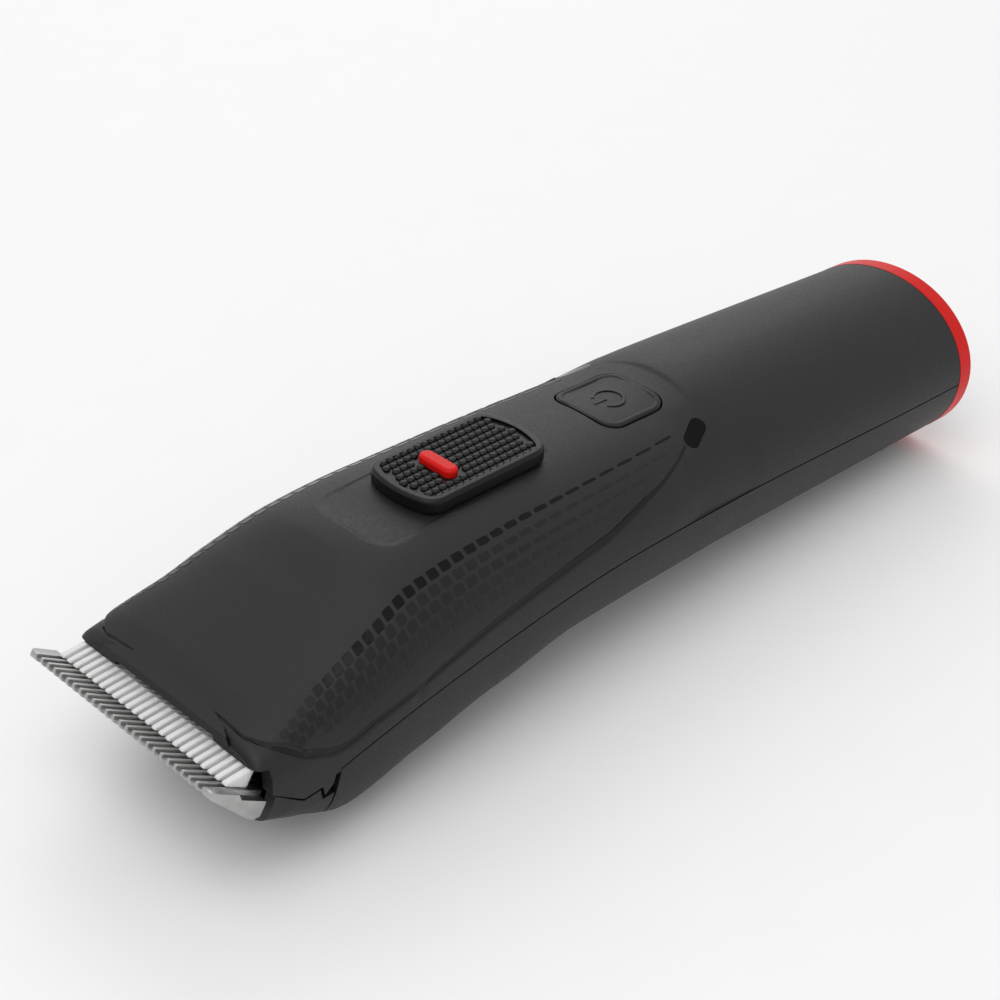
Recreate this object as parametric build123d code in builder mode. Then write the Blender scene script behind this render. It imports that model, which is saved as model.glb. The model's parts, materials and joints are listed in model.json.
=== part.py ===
from build123d import *
from math import atan2, cos, degrees, radians, sin, tan
import os

# Cordless hair clipper with a snap-on blade head, a cutting-length slider and a power button.
# Lengths are in millimetres. While it is drawn, X runs from the comb tips to the tail,
# Y runs across the blade and Z is measured from the axis of the handle.
# The last step lays the clipper on its chin and its tail, with its origin under its middle.

os.makedirs("parts", exist_ok=True)

# Outline of the casing: one cross-section at each station
mouth_x = 6.0
mouth_half_width = 21.0
mouth_top = -1.4
mouth_bottom = -13.0
neck_x = 20.0
neck_half_width = 21.5
neck_top = 4.4
neck_bottom = -20.0
chin_x = 28.0
chin_half_width = 21.5
chin_top = 8.0
chin_bottom = -24.1
brow_x = 39.0
brow_half_width = 21.3
brow_top = 12.5
brow_bottom = -22.5
deck_x = 54.0
deck_half_width = 20.8
deck_top = 13.9
deck_bottom = -18.1
waist_x = 72.0
waist_half_width = 20.3
waist_top = 14.1
waist_bottom = -16.5
panel_x = 98.0
panel_half_width = 19.8
panel_top = 14.5
panel_bottom = -16.2
step_x = 109.0
step_half_width = 19.5
step_top = 16.2
step_bottom = -16.6
tail_x = 169.0
tail_half_width = 18.6
tail_top = 15.4
tail_bottom = -15.5

# Height of the seam between the two shells at the same stations
mouth_seam = -8.0
neck_seam = -8.5
chin_seam = -5.2
brow_seam = -1.7
deck_seam = -0.4
waist_seam = 0.2
panel_seam = 1.2
step_seam = 1.2
tail_seam = 0.3

# Parting line of the shells, where it leaves the widest line of the sections
chin_parting = -6.6
brow_parting = -4.3
deck_parting = -2.0

# How full the corners of a cross-section are: an ellipse is 0.5523, a rectangle is 1
mouth_crown_fullness = 0.95
mouth_keel_fullness = 0.88
neck_crown_fullness = 0.82
neck_keel_fullness = 0.88
chin_crown_fullness = 0.72
chin_keel_fullness = 0.76
brow_crown_fullness = 0.6
brow_keel_fullness = 0.73
deck_crown_fullness = 0.6
deck_keel_fullness = 0.75
waist_crown_fullness = 0.62
waist_keel_fullness = 0.63
panel_fullness = 0.59
grip_fullness = 0.5523

# Shells
wall = 2.0
seam_gap = 0.25
head_gap = 0.4
clearance = 0.35
reach = 60.0

# Mouth of the casing and the side seam above the blade head
lip_x = 7.5
lip_underside = -3.6
cheek_front_x = 9.4
seam_front_z = -7.4
seam_low_x = 14.6
seam_low_z = -10.6
tab_front_x = 17.7
tab_front_z = -10.1
tab_tip_x = 18.3
tab_tip_z = -12.1
tab_back_x = 19.9
tab_back_z = -11.7
tab_root_x = 20.9
head_rear_bottom_x = 19.0
holder_front_x = 8.8
holder_front_z = -12.0

# Blade plane: it starts at the comb tips and falls towards the tail
blade_slope = 30.0
tip_z = -2.4

# Comb
tooth_pitch = 1.5
tooth_gaps = 25
tooth_gap_width = 0.9
tooth_length = 6.0
comb_half_width = 20.5
comb_nose = 1.1
comb_nose_radius = 0.45
comb_depth = 3.5
comb_front_length = 10.6
comb_corner = 1.2
ear_length = 5.0
ear_slope = 0.8
ear_drop = 0.75
ear_inner_y = 19.0
tongue_length = 10.4
tongue_half_width = 16.0
tongue_thickness = 2.0

# Cutter
cutter_setback = 4.0
cutter_length = 7.0
cutter_half_width = 18.6
cutter_back_half_width = 16.0
cutter_shoulder = 4.9
cutter_shoulder_round = 1.6
cutter_thickness = 2.6
cutter_edge = 0.35
cutter_bevel = 35.5
cutter_tooth_gap_width = 0.6
cutter_tooth_gaps = 24
cutter_groove_depth = 0.95
cutter_stroke = 1.0
blade_gap = 0.05

# Carriage that carries the cutter along the blade plane
carriage_length = 6.6
carriage_half_width = 16.2
carriage_gap = 0.4
carriage_lift = 0.15
carriage_height = 2.25
rail_height = 0.6
rail_depth = 1.0
rail_gap = 0.1
carriage_travel = 2.0

# Length slider on the deck
deck_slope = 2.4
slider_travel = 7.0
slider_front_x = 48.2
slider_length = 26.2
slider_half_width = 7.2
slider_end_bow = 1.6
slider_height = 2.15
slider_rim = 1.1
slider_dish = 0.45
slider_corner = 3.0
slider_round = 0.6
recess_margin = 0.5
recess_front_margin = 1.6
recess_floor = 13.25
stem_length = 10.0
stem_half_width = 2.2
retainer_half_width = 6.2
retainer_thickness = 1.0
retainer_margin = 4.0
bar_tab_length = 4.0
pad_thickness = 3.1
marker_length = 7.2
marker_width = 2.5
marker_height = 1.35
marker_from_front = 9.0

# Cam bar that carries the slider's motion to the carriage
bar_inner_y = 8.6
bar_width = 2.0
bar_height = 2.2
follower_x = 17.0
follower_z = -4.6
follower_radius = 0.9
follower_gap = 0.2
ramp_lead = 0.6
ramp_height = 1.5
ramp_length = 7.0
bar_rear_x = 45.5

# Power button
button_x = 94.0
button_side = 13.4
button_corner = 3.0
button_flange = 1.0
button_flange_thickness = 0.8
button_travel = 0.6
button_rest_gap = 0.05

# Side accents at the end of the step
accent_x = 100.2
accent_angle = 48.0
accent_tilt = 30.0
accent_length = 6.0
accent_width = 2.6
accent_seat_radius = 16.2
accent_fit = 0.05

# Motor and its drive
motor_z = -3.4
motor_front_x = 40.0
motor_length = 28.0
motor_radius = 11.0
motor_wall = 1.0
motor_nose_radius = 3.5
motor_nose = 1.6
bell_length = 4.0
magnet_thickness = 2.2
magnet_split = 10.0
armature_radius = 7.2
armature_length = 16.0
armature_slot = 3.0
armature_core = 4.0
armature_gap = 3.0
commutator_radius = 2.6
commutator_length = 3.4
bearing_radius = 2.4
bearing_length = 2.4
shaft_radius = 1.0
shaft_fit = 0.03
cam_x = 30.6
cam_length = 4.6
cam_radius = 4.4
pin_offset = 1.0
pin_radius = 1.5
pin_length = 6.0
terminal_width = 2.0
terminal_thickness = 0.5
terminal_length = 3.0
terminal_spread = 6.0
shaft_end_gap = 0.5
shaft_hole_fit = 0.3

# Drive yoke
yoke_half_width = 6.0
yoke_slot_start = 18.0
yoke_rear_x = 29.2
yoke_front_along = 8.6
yoke_back_along = 10.8
yoke_top_front_x = 10.2
yoke_top_front_z = -3.7
yoke_top_z = -1.2
yoke_bottom_z = -5.2

# Battery and electronics
battery_radius = 9.1
battery_length = 65.0
battery_front_x = 98.0
battery_z = -2.6
nub_radius = 3.0
nub_length = 1.0
cell_round = 0.8
tab_thickness = 0.3
tab_width = 6.0
tab_length = 14.0
rear_tab_top = 9.0
lead_radius = 0.5
lead_bend = 2.0
motor_lead_x = 87.0
battery_lead_x = 93.0
battery_lead_z = 2.5
board_front_x = 80.0
board_length = 60.0
board_half_width = 8.0
board_thickness = 1.2
board_z = 7.4
switch_side = 6.0
switch_height = 1.2
plunger_radius = 1.6
plunger_height = 0.3
chip_side = 7.0
chip_x = 114.0
chip_height = 1.2
board_post_radius = 2.0
board_screw_radius = 0.8
board_screw_head_radius = 1.6
board_screw_head = 1.0
board_screw_inset = 3.0
board_screw_y = 5.8
board_screw_bite = 2.0

# Tail
ring_length = 3.6
ring_width = 1.8
ring_round = 0.6
cap_thickness = 3.2
cap_plug = 3.0
cap_fit = 0.1
socket_width = 9.0
socket_height = 3.3
socket_length = 7.5
socket_wall = 0.4
socket_tongue_width = 6.6
socket_tongue_height = 0.7

# Fasteners
boss_radius = 2.6
boss_y = 13.6
boss_front_x = 34.0
boss_middle_x = 84.0
boss_rear_x = 152.0
screw_radius = 1.0
screw_head_radius = 1.9
screw_head = 1.4
screw_bite = 7.0
screw_end_gap = 0.5
screw_floor = 2.6
comb_screw_radius = 1.0
comb_screw_head_radius = 1.8
comb_screw_head = 0.9
comb_screw_bite = 3.0
comb_screw_y = 7.0
comb_screw_along = 16.0
guide_screw_y = 13.6
guide_screw_along = 13.6
guide_head = 0.8
guide_head_radius = 2.0
slider_screw_radius = 0.8
slider_screw_head_radius = 1.6
slider_screw_head = 0.6
slider_screw_bite = 3.6

# Hinge between the blade head and the casing
hinge_pin_radius = 0.6
knuckle_radius = 1.3
knuckle_width = 4.0
knuckle_gap = 0.35

# Leaf springs
leaf_thickness = 0.35
leaf_width = 3.0
leaf_y = 9.0
leaf_back = 14.4
leaf_bridge = 2.2
leaf_front = 8.2
return_leaf_half_width = 4.0
return_leaf_foot = 2.0
leaf_gap = 0.1

# Ribs that cradle the motor and the battery
rib_thickness = 1.6
rib_inset = 5.0
cradle_fit = 0.1


# The stations as lists, from the mouth to the tail
station_xs = (mouth_x, neck_x, chin_x, brow_x, deck_x, waist_x, panel_x, step_x, tail_x)
half_widths = (
    mouth_half_width,
    neck_half_width,
    chin_half_width,
    brow_half_width,
    deck_half_width,
    waist_half_width,
    panel_half_width,
    step_half_width,
    tail_half_width,
)
tops = (mouth_top, neck_top, chin_top, brow_top, deck_top, waist_top, panel_top, step_top, tail_top)
bottoms = (
    mouth_bottom,
    neck_bottom,
    chin_bottom,
    brow_bottom,
    deck_bottom,
    waist_bottom,
    panel_bottom,
    step_bottom,
    tail_bottom,
)
seams = (
    mouth_seam,
    neck_seam,
    chin_seam,
    brow_seam,
    deck_seam,
    waist_seam,
    panel_seam,
    step_seam,
    tail_seam,
)
crown_fullnesses = (
    mouth_crown_fullness,
    neck_crown_fullness,
    chin_crown_fullness,
    brow_crown_fullness,
    deck_crown_fullness,
    waist_crown_fullness,
    panel_fullness,
    grip_fullness,
    grip_fullness,
)
keel_fullnesses = (
    mouth_keel_fullness,
    neck_keel_fullness,
    chin_keel_fullness,
    brow_keel_fullness,
    deck_keel_fullness,
    waist_keel_fullness,
    panel_fullness,
    grip_fullness,
    grip_fullness,
)
section_count = 24


# Helpers

def cross_section(x, half_width, top, bottom, seam, crown_fullness, keel_fullness, inset):
    """One closed cross-section of the casing, drawn in by inset."""
    side = half_width - inset
    crown = top - inset
    keel = bottom + inset
    with BuildSketch(Plane.YZ.offset(x)) as section:
        with BuildLine():
            for flip in (1, -1):
                Bezier(
                    (0, crown),
                    (flip * crown_fullness * side, crown),
                    (flip * side, seam + crown_fullness * (crown - seam)),
                    (flip * side, seam),
                )
                Bezier(
                    (flip * side, seam),
                    (flip * side, seam + keel_fullness * (keel - seam)),
                    (flip * keel_fullness * side, keel),
                    (0, keel),
                )
        make_face()
    return section.sketch


def between(values, x):
    """A smooth curve through the values at the stations that never overshoots them."""
    steps = [second - first for first, second in zip(station_xs, station_xs[1:])]
    slopes = [(second - first) / step for first, second, step in zip(values, values[1:], steps)]
    tangents = [slopes[0]]
    for before, after in zip(slopes, slopes[1:]):
        tangents.append(2 * before * after / (before + after) if before * after > 0 else 0)
    tangents.append(slopes[-1])
    span = max(n for n in range(len(steps)) if station_xs[n] <= x or n == 0)
    t = (x - station_xs[span]) / steps[span]
    return (
        (1 + 2 * t) * (1 - t) ** 2 * values[span]
        + t * (1 - t) ** 2 * steps[span] * tangents[span]
        + t * t * (3 - 2 * t) * values[span + 1]
        + t * t * (t - 1) * steps[span] * tangents[span + 1]
    )


def casing_sections(inset):
    """Evenly spaced cross-sections of the casing from the mouth to the tail."""
    spacing = (tail_x - mouth_x) / (section_count - 1)
    places = [mouth_x + spacing * n for n in range(section_count)]
    return [
        cross_section(
            x,
            between(half_widths, x),
            between(tops, x),
            between(bottoms, x),
            between(seams, x),
            between(crown_fullnesses, x),
            between(keel_fullnesses, x),
            inset,
        )
        for x in places
    ]


def blade_xz(along, above):
    """Drawing coordinates of a point along the blade plane and above it."""
    return (
        along * cos(radians(blade_slope)) + above * sin(radians(blade_slope)),
        tip_z - along * sin(radians(blade_slope)) + above * cos(radians(blade_slope)),
    )


def deck_xz(along, above):
    """Drawing coordinates of a point along the deck from the middle of the slider and above it."""
    return (
        slider_mid_x + along * cos(radians(deck_slope)) - above * sin(radians(deck_slope)),
        recess_floor + along * sin(radians(deck_slope)) + above * cos(radians(deck_slope)),
    )


def yoke_outline(shift):
    """Side view of the drive yoke, moved forward along the blade plane by shift."""
    forward, rise = (-shift * cos(radians(blade_slope)), shift * sin(radians(blade_slope)))
    outline = [
        blade_xz(yoke_front_along, cutter_top),
        blade_xz(yoke_back_along, cutter_top),
        (yoke_slot_start, yoke_bottom_z),
        (yoke_rear_x, yoke_bottom_z),
        (yoke_rear_x, yoke_top_z),
        (yoke_slot_start, yoke_top_z),
        (yoke_top_front_x, yoke_top_front_z),
    ]
    return [(x + forward, z + rise) for x, z in outline]


def bar_outline(shift):
    """Side view of the cam bar, moved forward along the deck by shift."""
    forward, drop = (-shift * cos(radians(deck_slope)), -shift * sin(radians(deck_slope)))
    outline = [
        (ramp_front_x, ramp_front_z),
        (ramp_back_x, ramp_back_z),
        deck_xz(bar_front + bar_tab_length, retainer_bottom),
        deck_xz(bar_front + bar_tab_length, retainer_top),
        deck_xz(bar_front, retainer_top),
        (ramp_back_x, ramp_back_z + bar_height),
        (ramp_front_x, ramp_front_z + ramp_height),
    ]
    return [(x + forward, z + drop) for x, z in outline]


def seam_points():
    """The seam between the shells, behind the blade head."""
    return [
        (tab_root_x, neck_seam),
        (chin_x, chin_parting),
        (brow_x, brow_parting),
        (deck_x, deck_parting),
        (waist_x, waist_seam),
        (panel_x, panel_seam),
        (step_x, step_seam),
        (tail_x + clearance, tail_seam),
    ]


blade_side = Plane(
    origin=(0, 0, tip_z),
    x_dir=(cos(radians(blade_slope)), 0, -sin(radians(blade_slope))),
    z_dir=(0, -1, 0),
)
blade_top = Plane(
    origin=(0, 0, tip_z),
    x_dir=(cos(radians(blade_slope)), 0, -sin(radians(blade_slope))),
    z_dir=(sin(radians(blade_slope)), 0, cos(radians(blade_slope))),
)
cutter_top = blade_gap + cutter_thickness
leaf_top = cutter_top + leaf_gap + leaf_thickness
slider_mid_x = slider_front_x + slider_length / 2
deck_plane = Plane(
    origin=(slider_mid_x, 0, recess_floor),
    x_dir=(cos(radians(deck_slope)), 0, sin(radians(deck_slope))),
    z_dir=(-sin(radians(deck_slope)), 0, cos(radians(deck_slope))),
)
retainer_top = -pad_thickness - clearance
retainer_bottom = retainer_top - retainer_thickness
ramp_run = slider_travel * cos(radians(deck_slope)) - carriage_travel * cos(radians(blade_slope))
ramp_rise = slider_travel * sin(radians(deck_slope)) + carriage_travel * sin(radians(blade_slope))
ramp_front_x = follower_x + ramp_lead
ramp_front_z = follower_z + follower_radius + follower_gap
ramp_back_x = ramp_front_x + ramp_length
ramp_back_z = ramp_front_z + ramp_length * ramp_rise / ramp_run
bar_front = bar_rear_x - slider_mid_x - bar_tab_length / 2
motor_plane = Plane(origin=(0, 0, motor_z), x_dir=(0, 1, 0), z_dir=(1, 0, 0))
battery_plane = Plane(origin=(0, 0, battery_z), x_dir=(0, 1, 0), z_dir=(1, 0, 0))
boss_xs = (boss_front_x, boss_middle_x, boss_rear_x)
boss_tops = (chin_seam - wall, waist_seam, tail_seam)
board_screw_xs = (board_front_x + board_screw_inset, board_front_x + board_length - board_screw_inset)
hinge_x = head_rear_bottom_x
hinge_z = neck_bottom + knuckle_radius + clearance

# The whole casing as one form, and the space inside it
with BuildPart() as casing_form:
    loft(sections=casing_sections(0))

with BuildPart() as casing_space:
    loft(sections=casing_sections(wall))

# Upper shell: the space inside leaves screw bosses, board posts and the pad under the slider,
# and room for the yoke, the tension spring and the cam bar at their full travel
recess_back = slider_length / 2 + recess_margin
recess_front = -slider_length / 2 - slider_travel - recess_front_margin
recess_half_width = slider_half_width + recess_margin
board_top = board_z + board_thickness
board_screw_places = [
    (board_screw_xs[0], board_screw_y),
    (board_screw_xs[1], -board_screw_y),
]

with BuildPart() as upper_space:
    add(casing_space.part)
    for x, top in zip(boss_xs, boss_tops):
        with Locations((x, boss_y, top), (x, -boss_y, top)):
            Cylinder(boss_radius, reach, align=(Align.CENTER, Align.CENTER, Align.MIN), mode=Mode.SUBTRACT)
    for x, y in board_screw_places:
        with Locations((x, y, board_top)):
            Cylinder(
                board_post_radius, reach, align=(Align.CENTER, Align.CENTER, Align.MIN), mode=Mode.SUBTRACT
            )
    with BuildSketch(deck_plane.offset(-pad_thickness)):
        with Locations(((recess_back + recess_front) / 2, 0)):
            Rectangle(recess_back - recess_front + 2 * wall, 2 * (recess_half_width + wall))
    extrude(amount=reach, mode=Mode.SUBTRACT)

with BuildPart() as upper_shell:
    add(casing_form.part)
    with BuildSketch(Plane.XZ):
        with BuildLine():
            Polyline(
                (tail_x + clearance, tail_seam),
                (tail_x + clearance, reach),
                (lip_x, reach),
                (lip_x, lip_underside),
                (cheek_front_x, lip_underside),
                (cheek_front_x, seam_front_z),
                (seam_low_x, seam_low_z),
                (tab_front_x, tab_front_z),
                (tab_tip_x, tab_tip_z),
                (tab_back_x, tab_back_z),
                (tab_root_x, neck_seam),
            )
            Spline(*seam_points())
        make_face()
    extrude(amount=reach, both=True, mode=Mode.INTERSECT)
    add(upper_space.part, mode=Mode.SUBTRACT)
    with BuildSketch(Plane.XZ):
        with BuildLine():
            Polyline(*yoke_outline(carriage_travel), close=True)
        make_face()
        offset(amount=clearance, kind=Kind.INTERSECTION)
    extrude(amount=yoke_half_width + cutter_stroke + clearance, both=True, mode=Mode.SUBTRACT)
    with BuildSketch(blade_top.offset(leaf_top + clearance)):
        Rectangle(2 * leaf_back, 2 * (leaf_y + leaf_width / 2 + clearance))
    extrude(amount=-wall, mode=Mode.SUBTRACT)
    with BuildSketch(Plane.XZ.offset(clearance - bar_inner_y)):
        with BuildLine():
            Polyline(*bar_outline(slider_travel), close=True)
        make_face()
        offset(amount=clearance, kind=Kind.INTERSECTION)
    extrude(amount=-(bar_width + 2 * clearance), mode=Mode.SUBTRACT)
    with BuildSketch(deck_plane):
        with Locations(((recess_back + recess_front) / 2, 0)):
            RectangleRounded(recess_back - recess_front, 2 * recess_half_width, slider_corner + recess_margin)
    extrude(amount=reach, mode=Mode.SUBTRACT)
    with BuildSketch(deck_plane):
        with Locations((-slider_travel / 2, 0)):
            Rectangle(stem_length + slider_travel + 2 * clearance, 2 * (stem_half_width + clearance))
    extrude(amount=-(pad_thickness + clearance), mode=Mode.SUBTRACT)
    with BuildSketch(Plane.XY.offset(board_top + switch_height)):
        with Locations((button_x, 0)):
            RectangleRounded(
                button_side + 2 * clearance, button_side + 2 * clearance, button_corner + clearance
            )
    extrude(amount=reach, mode=Mode.SUBTRACT)
    for side in (1, -1):
        accent_plane = Plane(
            origin=(accent_x, 0, 0),
            x_dir=(1, 0, 0),
            z_dir=(0, side * sin(radians(accent_angle)), cos(radians(accent_angle))),
        )
        with BuildSketch(accent_plane.offset(accent_seat_radius)):
            SlotOverall(
                accent_length + 2 * accent_fit,
                accent_width + 2 * accent_fit,
                rotation=-side * accent_tilt,
            )
        extrude(amount=reach, mode=Mode.SUBTRACT)
    for x, top in zip(boss_xs, boss_tops):
        with Locations((x, boss_y, top), (x, -boss_y, top)):
            Cylinder(
                screw_radius + shaft_fit,
                screw_bite,
                align=(Align.CENTER, Align.CENTER, Align.MIN),
                mode=Mode.SUBTRACT,
            )
    for x, y in board_screw_places:
        with Locations((x, y, board_top)):
            Cylinder(
                board_screw_radius + shaft_fit,
                board_screw_bite,
                align=(Align.CENTER, Align.CENTER, Align.MIN),
                mode=Mode.SUBTRACT,
            )

# Lower shell: the space inside leaves screw bosses and the cradle ribs of motor and battery
motor_back_x = motor_front_x + motor_length
motor_rib_xs = (motor_front_x + rib_inset, motor_back_x - rib_inset)
battery_rib_xs = (battery_front_x + rib_inset, battery_front_x + battery_length - rib_inset)
front_edge_x = head_rear_bottom_x + clearance / 2
knuckle_pitch = knuckle_width + knuckle_gap
casing_knuckle_ys = [2 * knuckle_pitch * n for n in (-1, 0, 1)]
head_knuckle_ys = [2 * knuckle_pitch * (n + 0.5) for n in (-1, 0)]

with BuildPart() as lower_space:
    add(casing_space.part)
    for x in motor_rib_xs:
        with Locations((x, 0, motor_z)):
            Box(
                rib_thickness,
                reach,
                reach,
                align=(Align.CENTER, Align.CENTER, Align.MAX),
                mode=Mode.SUBTRACT,
            )
    for x in battery_rib_xs:
        with Locations((x, 0, battery_z)):
            Box(
                rib_thickness,
                reach,
                reach,
                align=(Align.CENTER, Align.CENTER, Align.MAX),
                mode=Mode.SUBTRACT,
            )
    with BuildSketch(motor_plane.offset(motor_front_x)):
        Circle(motor_radius + cradle_fit)
    extrude(amount=motor_length)
    with BuildSketch(battery_plane.offset(battery_front_x)):
        Circle(battery_radius + cradle_fit)
    extrude(amount=battery_length)
    for x, top in zip(boss_xs, boss_tops):
        with Locations((x, boss_y, top), (x, -boss_y, top)):
            Cylinder(boss_radius, reach, align=(Align.CENTER, Align.CENTER, Align.MAX), mode=Mode.SUBTRACT)

with BuildPart() as lower_shell:
    add(casing_form.part)
    with BuildSketch(Plane.XZ):
        with BuildLine():
            Spline(*[(x, z - seam_gap) for x, z in seam_points()])
            Polyline(
                (tail_x + clearance, tail_seam - seam_gap),
                (tail_x + clearance, -reach),
                (front_edge_x, -reach),
                (front_edge_x, hinge_z),
                (tab_root_x, neck_seam - seam_gap),
            )
        make_face()
    extrude(amount=reach, both=True, mode=Mode.INTERSECT)
    add(lower_space.part, mode=Mode.SUBTRACT)
    with BuildSketch(Plane.XZ):
        with Locations((hinge_x, hinge_z)):
            Circle(knuckle_radius + clearance)
    extrude(amount=reach, both=True, mode=Mode.SUBTRACT)
    for y in casing_knuckle_ys:
        with BuildSketch(Plane.XZ.offset(-y)):
            with Locations((hinge_x, hinge_z)):
                Circle(knuckle_radius)
            with Locations((hinge_x, hinge_z - knuckle_radius)):
                Rectangle(2 * knuckle_radius, 2 * knuckle_radius, align=(Align.MIN, Align.MIN))
        extrude(amount=knuckle_width / 2, both=True)
    with BuildSketch(Plane.XZ):
        with Locations((hinge_x, hinge_z)):
            Circle(hinge_pin_radius + shaft_fit)
    extrude(amount=reach / 4, both=True, mode=Mode.SUBTRACT)
    for x, top in zip(boss_xs, boss_tops):
        with Locations((x, boss_y, top), (x, -boss_y, top)):
            Cylinder(
                screw_radius + shaft_fit,
                reach,
                align=(Align.CENTER, Align.CENTER, Align.MAX),
                mode=Mode.SUBTRACT,
            )
        with Locations((x, boss_y, top - screw_floor), (x, -boss_y, top - screw_floor)):
            Cylinder(
                screw_head_radius + cradle_fit,
                reach,
                align=(Align.CENTER, Align.CENTER, Align.MAX),
                mode=Mode.SUBTRACT,
            )

# Blade head: holder
holder_inner_half_width = neck_half_width - wall - clearance

with BuildPart() as blade_holder:
    add(casing_form.part)
    with BuildSketch(Plane.XZ):
        with BuildLine():
            Polyline(
                (cheek_front_x + head_gap, seam_front_z - head_gap),
                (seam_low_x, seam_low_z - head_gap),
                (tab_front_x - head_gap, tab_front_z - head_gap),
                (tab_tip_x - head_gap, tab_tip_z - head_gap),
                (tab_back_x, tab_back_z - seam_gap - clearance),
                (head_rear_bottom_x - clearance / 2, hinge_z),
                (head_rear_bottom_x - clearance / 2, -reach),
                (holder_front_x, -reach),
                (holder_front_x, holder_front_z),
                close=True,
            )
        make_face()
    extrude(amount=reach, both=True, mode=Mode.INTERSECT)
    with BuildSketch(blade_side):
        with Locations((0, -tongue_thickness)):
            Rectangle(reach, reach, align=(Align.MIN, Align.MIN))
    extrude(amount=holder_inner_half_width, both=True, mode=Mode.SUBTRACT)
    for y in casing_knuckle_ys:
        with BuildSketch(Plane.XZ.offset(-y)):
            with Locations((hinge_x, hinge_z)):
                Circle(knuckle_radius + clearance)
        extrude(amount=knuckle_width / 2 + knuckle_gap, both=True, mode=Mode.SUBTRACT)
    for y in head_knuckle_ys:
        with BuildSketch(Plane.XZ.offset(-y)):
            with Locations((hinge_x, hinge_z)):
                Circle(knuckle_radius)
            with Locations((hinge_x, hinge_z)):
                Rectangle(2 * knuckle_radius, 2 * knuckle_radius, align=(Align.MAX, Align.MIN))
        extrude(amount=knuckle_width / 2, both=True)
    with BuildSketch(Plane.XZ):
        with Locations((hinge_x, hinge_z)):
            Circle(hinge_pin_radius + shaft_fit)
    extrude(amount=reach / 4, both=True, mode=Mode.SUBTRACT)
    with BuildSketch(blade_top.offset(-tongue_thickness)):
        with Locations((comb_screw_along, comb_screw_y), (comb_screw_along, -comb_screw_y)):
            Circle(comb_screw_radius + shaft_fit)
        with Locations((guide_screw_along, guide_screw_y), (guide_screw_along, -guide_screw_y)):
            Circle(comb_screw_radius + shaft_fit)
    extrude(amount=-comb_screw_bite, mode=Mode.SUBTRACT)

# Blade head: hinge pin, comb, screws
with BuildPart() as hinge_pin:
    with BuildSketch(Plane.XZ):
        with Locations((hinge_x, hinge_z)):
            Circle(hinge_pin_radius)
    extrude(amount=casing_knuckle_ys[-1] + knuckle_width / 2, both=True)


with BuildPart() as comb_blade:
    with BuildSketch(blade_side):
        with BuildLine():
            Polyline(
                (0, 0),
                (comb_front_length, 0),
                (comb_front_length, -comb_depth + comb_nose_radius),
                (comb_front_length - 2 * comb_nose_radius, -comb_depth),
                (comb_front_length - tongue_thickness, -comb_depth),
                (comb_nose_radius, -comb_nose),
                (0, -comb_nose + comb_nose_radius),
                close=True,
            )
        make_face()
    extrude(amount=comb_half_width, both=True)
    fillet(comb_blade.edges().filter_by(Axis.Y).sort_by(Axis.X)[:2], comb_nose_radius / 2)
    with BuildSketch(blade_top) as comb_plan:
        Rectangle(reach, 2 * comb_half_width, align=(Align.MIN, Align.CENTER))
        fillet(comb_plan.vertices().sort_by(Axis.X)[:2], comb_corner)
    extrude(amount=reach, both=True, mode=Mode.INTERSECT)
    for side in (1, -1):
        with BuildSketch(blade_side.offset(side * ear_inner_y)):
            with BuildLine():
                Polyline(
                    (ear_length, 0),
                    (ear_length + ear_slope, -ear_drop),
                    (comb_front_length, -ear_drop),
                    (comb_front_length, ear_drop),
                    (ear_length, ear_drop),
                    close=True,
                )
            make_face()
        extrude(amount=side * reach, mode=Mode.SUBTRACT)
    with BuildSketch(blade_top):
        with Locations((comb_front_length, 0)):
            Rectangle(tongue_length, 2 * tongue_half_width, align=(Align.MIN, Align.CENTER))
    extrude(amount=-tongue_thickness)
    with BuildSketch(blade_top):
        with GridLocations(0, tooth_pitch, 1, tooth_gaps):
            SlotOverall(2 * tooth_length, tooth_gap_width)
    extrude(amount=reach, both=True, mode=Mode.SUBTRACT)
    with BuildSketch(blade_top):
        with Locations((comb_screw_along, comb_screw_y), (comb_screw_along, -comb_screw_y)):
            Circle(comb_screw_radius + shaft_fit)
        with Locations((guide_screw_along, guide_screw_y), (guide_screw_along, -guide_screw_y)):
            Circle(comb_screw_radius + shaft_fit)
    extrude(amount=-tongue_thickness, mode=Mode.SUBTRACT)
    with BuildSketch(blade_top):
        with Locations((comb_screw_along, comb_screw_y), (comb_screw_along, -comb_screw_y)):
            Circle(comb_screw_head_radius + shaft_fit)
    extrude(amount=-comb_screw_head, mode=Mode.SUBTRACT)

with BuildPart() as comb_screws:
    with BuildSketch(blade_top.offset(-comb_screw_head)):
        with Locations((comb_screw_along, comb_screw_y), (comb_screw_along, -comb_screw_y)):
            Circle(comb_screw_radius)
    extrude(amount=-(tongue_thickness - comb_screw_head + comb_screw_bite))
    with BuildSketch(blade_top.offset(-comb_screw_head)):
        with Locations((comb_screw_along, comb_screw_y), (comb_screw_along, -comb_screw_y)):
            Circle(comb_screw_head_radius)
    extrude(amount=comb_screw_head)

# Cutter: a ceramic wedge with grooves along its bevel that end as teeth, and a rail groove at its back
bevel_front_x, bevel_front_z = blade_xz(cutter_setback, blade_gap + cutter_edge)
bevel_rise = radians(cutter_bevel - blade_slope)
bevel_plane = Plane(
    origin=(bevel_front_x, 0, bevel_front_z),
    x_dir=(cos(bevel_rise), 0, sin(bevel_rise)),
    z_dir=(-sin(bevel_rise), 0, cos(bevel_rise)),
)
cutter_back = cutter_setback + cutter_length
bevel_back = cutter_setback + (cutter_thickness - cutter_edge) / tan(radians(cutter_bevel))
carriage_front = cutter_back + carriage_gap
carriage_top = carriage_lift + carriage_height
rail_mid = carriage_lift + carriage_height / 2

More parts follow.
